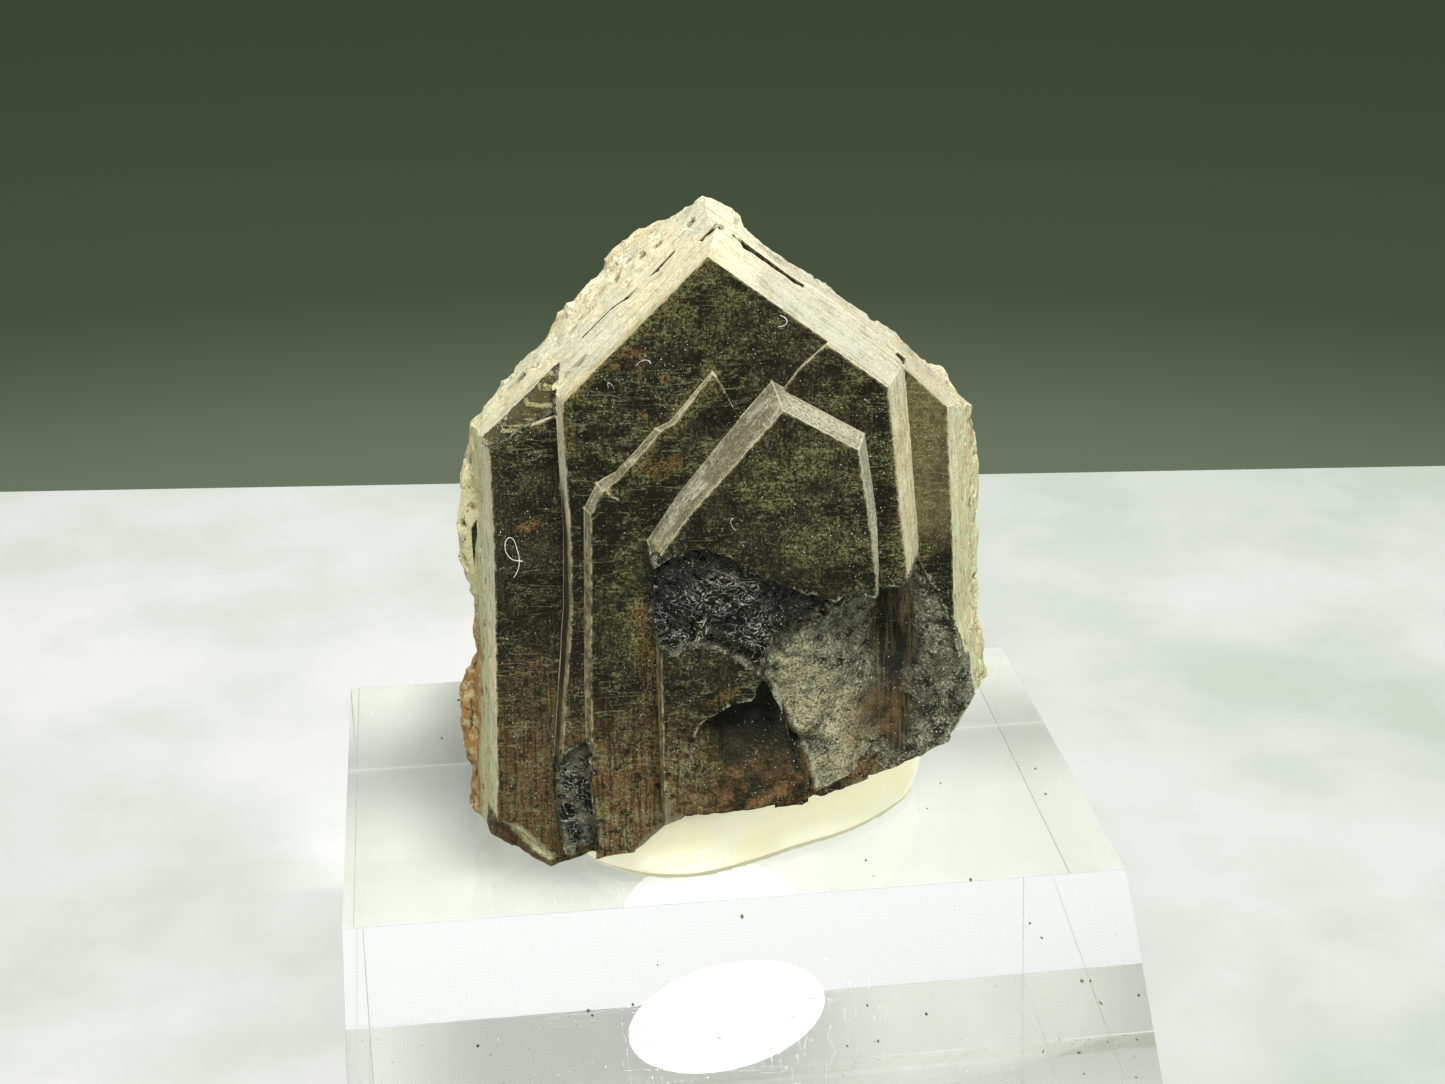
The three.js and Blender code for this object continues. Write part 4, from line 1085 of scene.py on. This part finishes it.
def plain_finish(name, rgb, dull):
    finish = new_finish(name)
    place = put("ShaderNodeTexCoord").outputs["Object"]
    tone = fade(cloud(place, 2600, 2), 0.35, 0.65)
    darker = tuple(0.72 * value for value in rgb)
    surfaced(Base_Color=blend_colours(tone, darker, rgb), Roughness=dull)
    return finish


def node_group(name, sizes):
    """Starts a geometry tree with a named input for each size."""
    global tree
    tree = bpy.data.node_groups.new(name, "GeometryNodeTree")
    tree.interface.new_socket("Geometry", in_out="INPUT", socket_type="NodeSocketGeometry")
    for label in sizes:
        tree.interface.new_socket(label, in_out="INPUT", socket_type="NodeSocketFloat")
    tree.interface.new_socket("Geometry", in_out="OUTPUT", socket_type="NodeSocketGeometry")
    return put("NodeGroupInput").outputs


def grow(name, mesh, shapes, finish, sizes):
    """Ends a geometry tree with its shapes, and keeps what it makes of a mesh as a plain mesh."""
    real = put("GeometryNodeRealizeInstances", Geometry=shapes)
    dressed = put("GeometryNodeSetMaterial", Geometry=real.outputs[0], Material=finish)
    put("NodeGroupOutput", Geometry=dressed.outputs[0])
    piece = placed(name, mesh)
    modifier = piece.modifiers.new("grow", "NODES")
    modifier.node_group = tree
    for item in tree.interface.items_tree:
        if item.in_out == "INPUT" and item.name in sizes:
            modifier[item.identifier] = float(sizes[item.name])
    made = bpy.data.meshes.new_from_object(piece.evaluated_get(bpy.context.evaluated_depsgraph_get()))
    piece.modifiers.clear()
    made.name = name
    piece.data = made
    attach(piece, "root")


def scatter(name, surface, slot, finish, seed, shape_of, lie_flat, limits, halvings, size, per_area):
    """Shapes spread at random over the parts of a surface that face up or forward."""
    given = node_group(name, ("Size", "Per Area"))
    normal = put("ShaderNodeSeparateXYZ", Vector=put("GeometryNodeInputNormal").outputs[0])
    place_of = put("GeometryNodeInputPosition").outputs[0]
    spot = put("ShaderNodeSeparateXYZ", Vector=place_of)
    shown = calc("SUBTRACT", normal.outputs[2], normal.outputs[1])
    keep = calc("GREATER_THAN", shown, UPWARD_ENOUGH)
    finer = put("GeometryNodeSubdivideMesh", Mesh=given["Geometry"], Level=halvings)
    for axis, low, high in limits:
        keep = times(keep, calc("GREATER_THAN", spot.outputs[axis], low))
        keep = times(keep, calc("LESS_THAN", spot.outputs[axis], high))
    drifts = cloud(place_of, DRIFTS_PER_METRE, 3.0, 0.5)
    crowded = times(given["Per Area"], fade(drifts, 0.42, 0.68, 0.15, 2.4))
    points = put("GeometryNodeDistributePointsOnFaces", Mesh=finer.outputs[0], Selection=keep,
                 Density=crowded, Seed=seed)
    shape = shape_of(given["Size"])
    spin = put("FunctionNodeRandomValue", {"data_type": "FLOAT"}, Seed=seed + 1)
    spin.inputs[3].default_value = 2 * math.pi
    turn = put("ShaderNodeCombineXYZ", Z=spin.outputs[1])
    if not lie_flat:
        tree.links.new(spin.outputs[1], turn.inputs[0])
    facing = put("FunctionNodeRotateRotation", {"rotation_space": "LOCAL"},
                 Rotation=points.outputs["Rotation"], Rotate_By=turn.outputs[0])
    scale = put("FunctionNodeRandomValue", {"data_type": "FLOAT_VECTOR"}, Seed=seed + 2)
    scale.inputs[0].default_value = (0.45, 0.45, 0.40)
    scale.inputs[1].default_value = (1.7, 1.7, 1.1)
    strewn = put("GeometryNodeInstanceOnPoints", Points=points.outputs["Points"],
                 Instance=shape, Rotation=facing.outputs[0], Scale=scale.outputs[0])
    grow(name, surface.copy(), strewn.outputs[0], finish, {"Size": size, "Per Area": per_area})


def speck(size):
    return put("GeometryNodeMeshIcoSphere", Radius=size, Subdivisions=1).outputs[0]


def bent_fibre(thickness):
    bow = put("GeometryNodeCurvePrimitiveBezierSegment", Resolution=7,
              Start=(-0.00030, 0.0, 0.00001), Start_Handle=(-0.00010, 0.00034, 0.00012),
              End_Handle=(0.00024, 0.00022, 0.00012), End=(0.00018, -0.00016, 0.00001))
    ring = put("GeometryNodeCurvePrimitiveCircle", Resolution=4, Radius=thickness)
    tube = put("GeometryNodeCurveToMesh", Curve=bow.outputs[0], Profile_Curve=ring.outputs[0],
               Fill_Caps=True)
    return tube.outputs[0]


below_apex = ((2, STONE_DUST_LOWEST, STONE_DUST_HIGHEST),)
on_the_block = [(axis, -BLOCK_DUST_REACH, BLOCK_DUST_REACH) for axis in (0, 1)]
dust_finish = plain_finish("pale_dust", DUST_PALE, 0.8)
lint_finish = plain_finish("white_lint", LINT_WHITE, 0.6)
grit_finish = plain_finish("brown_grit", GRIT_BROWN, 0.7)
on_stone = (crystal_mesh, "euxenite")
on_block = (block_mesh, "clear_acrylic")
scatter("stone_dust", *on_stone, dust_finish, 11, speck, False, below_apex, 0,
        STONE_DUST_SIZE, STONE_DUST_PER_M2)
scatter("short_fibres", *on_stone, lint_finish, 23, bent_fibre, True, below_apex, 0,
        FIBRE_THICKNESS, FIBRES_PER_M2)
scatter("block_dust", *on_block, dust_finish, 31, speck, False, on_the_block, FLAT_HALVINGS,
        BLOCK_DUST_SIZE, BLOCK_DUST_PER_M2)
scatter("block_grit", *on_block, grit_finish, 47, speck, False, on_the_block, FLAT_HALVINGS,
        GRIT_SIZE, GRIT_PER_M2)

given = node_group("looped_thread", ("Thickness",))
line = put("GeometryNodeMeshToCurve", Mesh=given["Geometry"])
smooth = put("GeometryNodeCurveSplineType", {"spline_type": "CATMULL_ROM"}, Curve=line.outputs[0])
ring = put("GeometryNodeCurvePrimitiveCircle", Resolution=6, Radius=given["Thickness"])
tube = put("GeometryNodeCurveToMesh", Curve=smooth.outputs[0], Profile_Curve=ring.outputs[0],
           Fill_Caps=True)
path_mesh = bpy.data.meshes.new("thread_path")
path_mesh.from_pydata(from_growth(np.array(LOOP_PATH)).tolist(),
                      [(n, n + 1) for n in range(len(LOOP_PATH) - 1)], [])
grow("looped_thread", path_mesh, tube.outputs[0], lint_finish, {"Thickness": LOOP_THICKNESS})
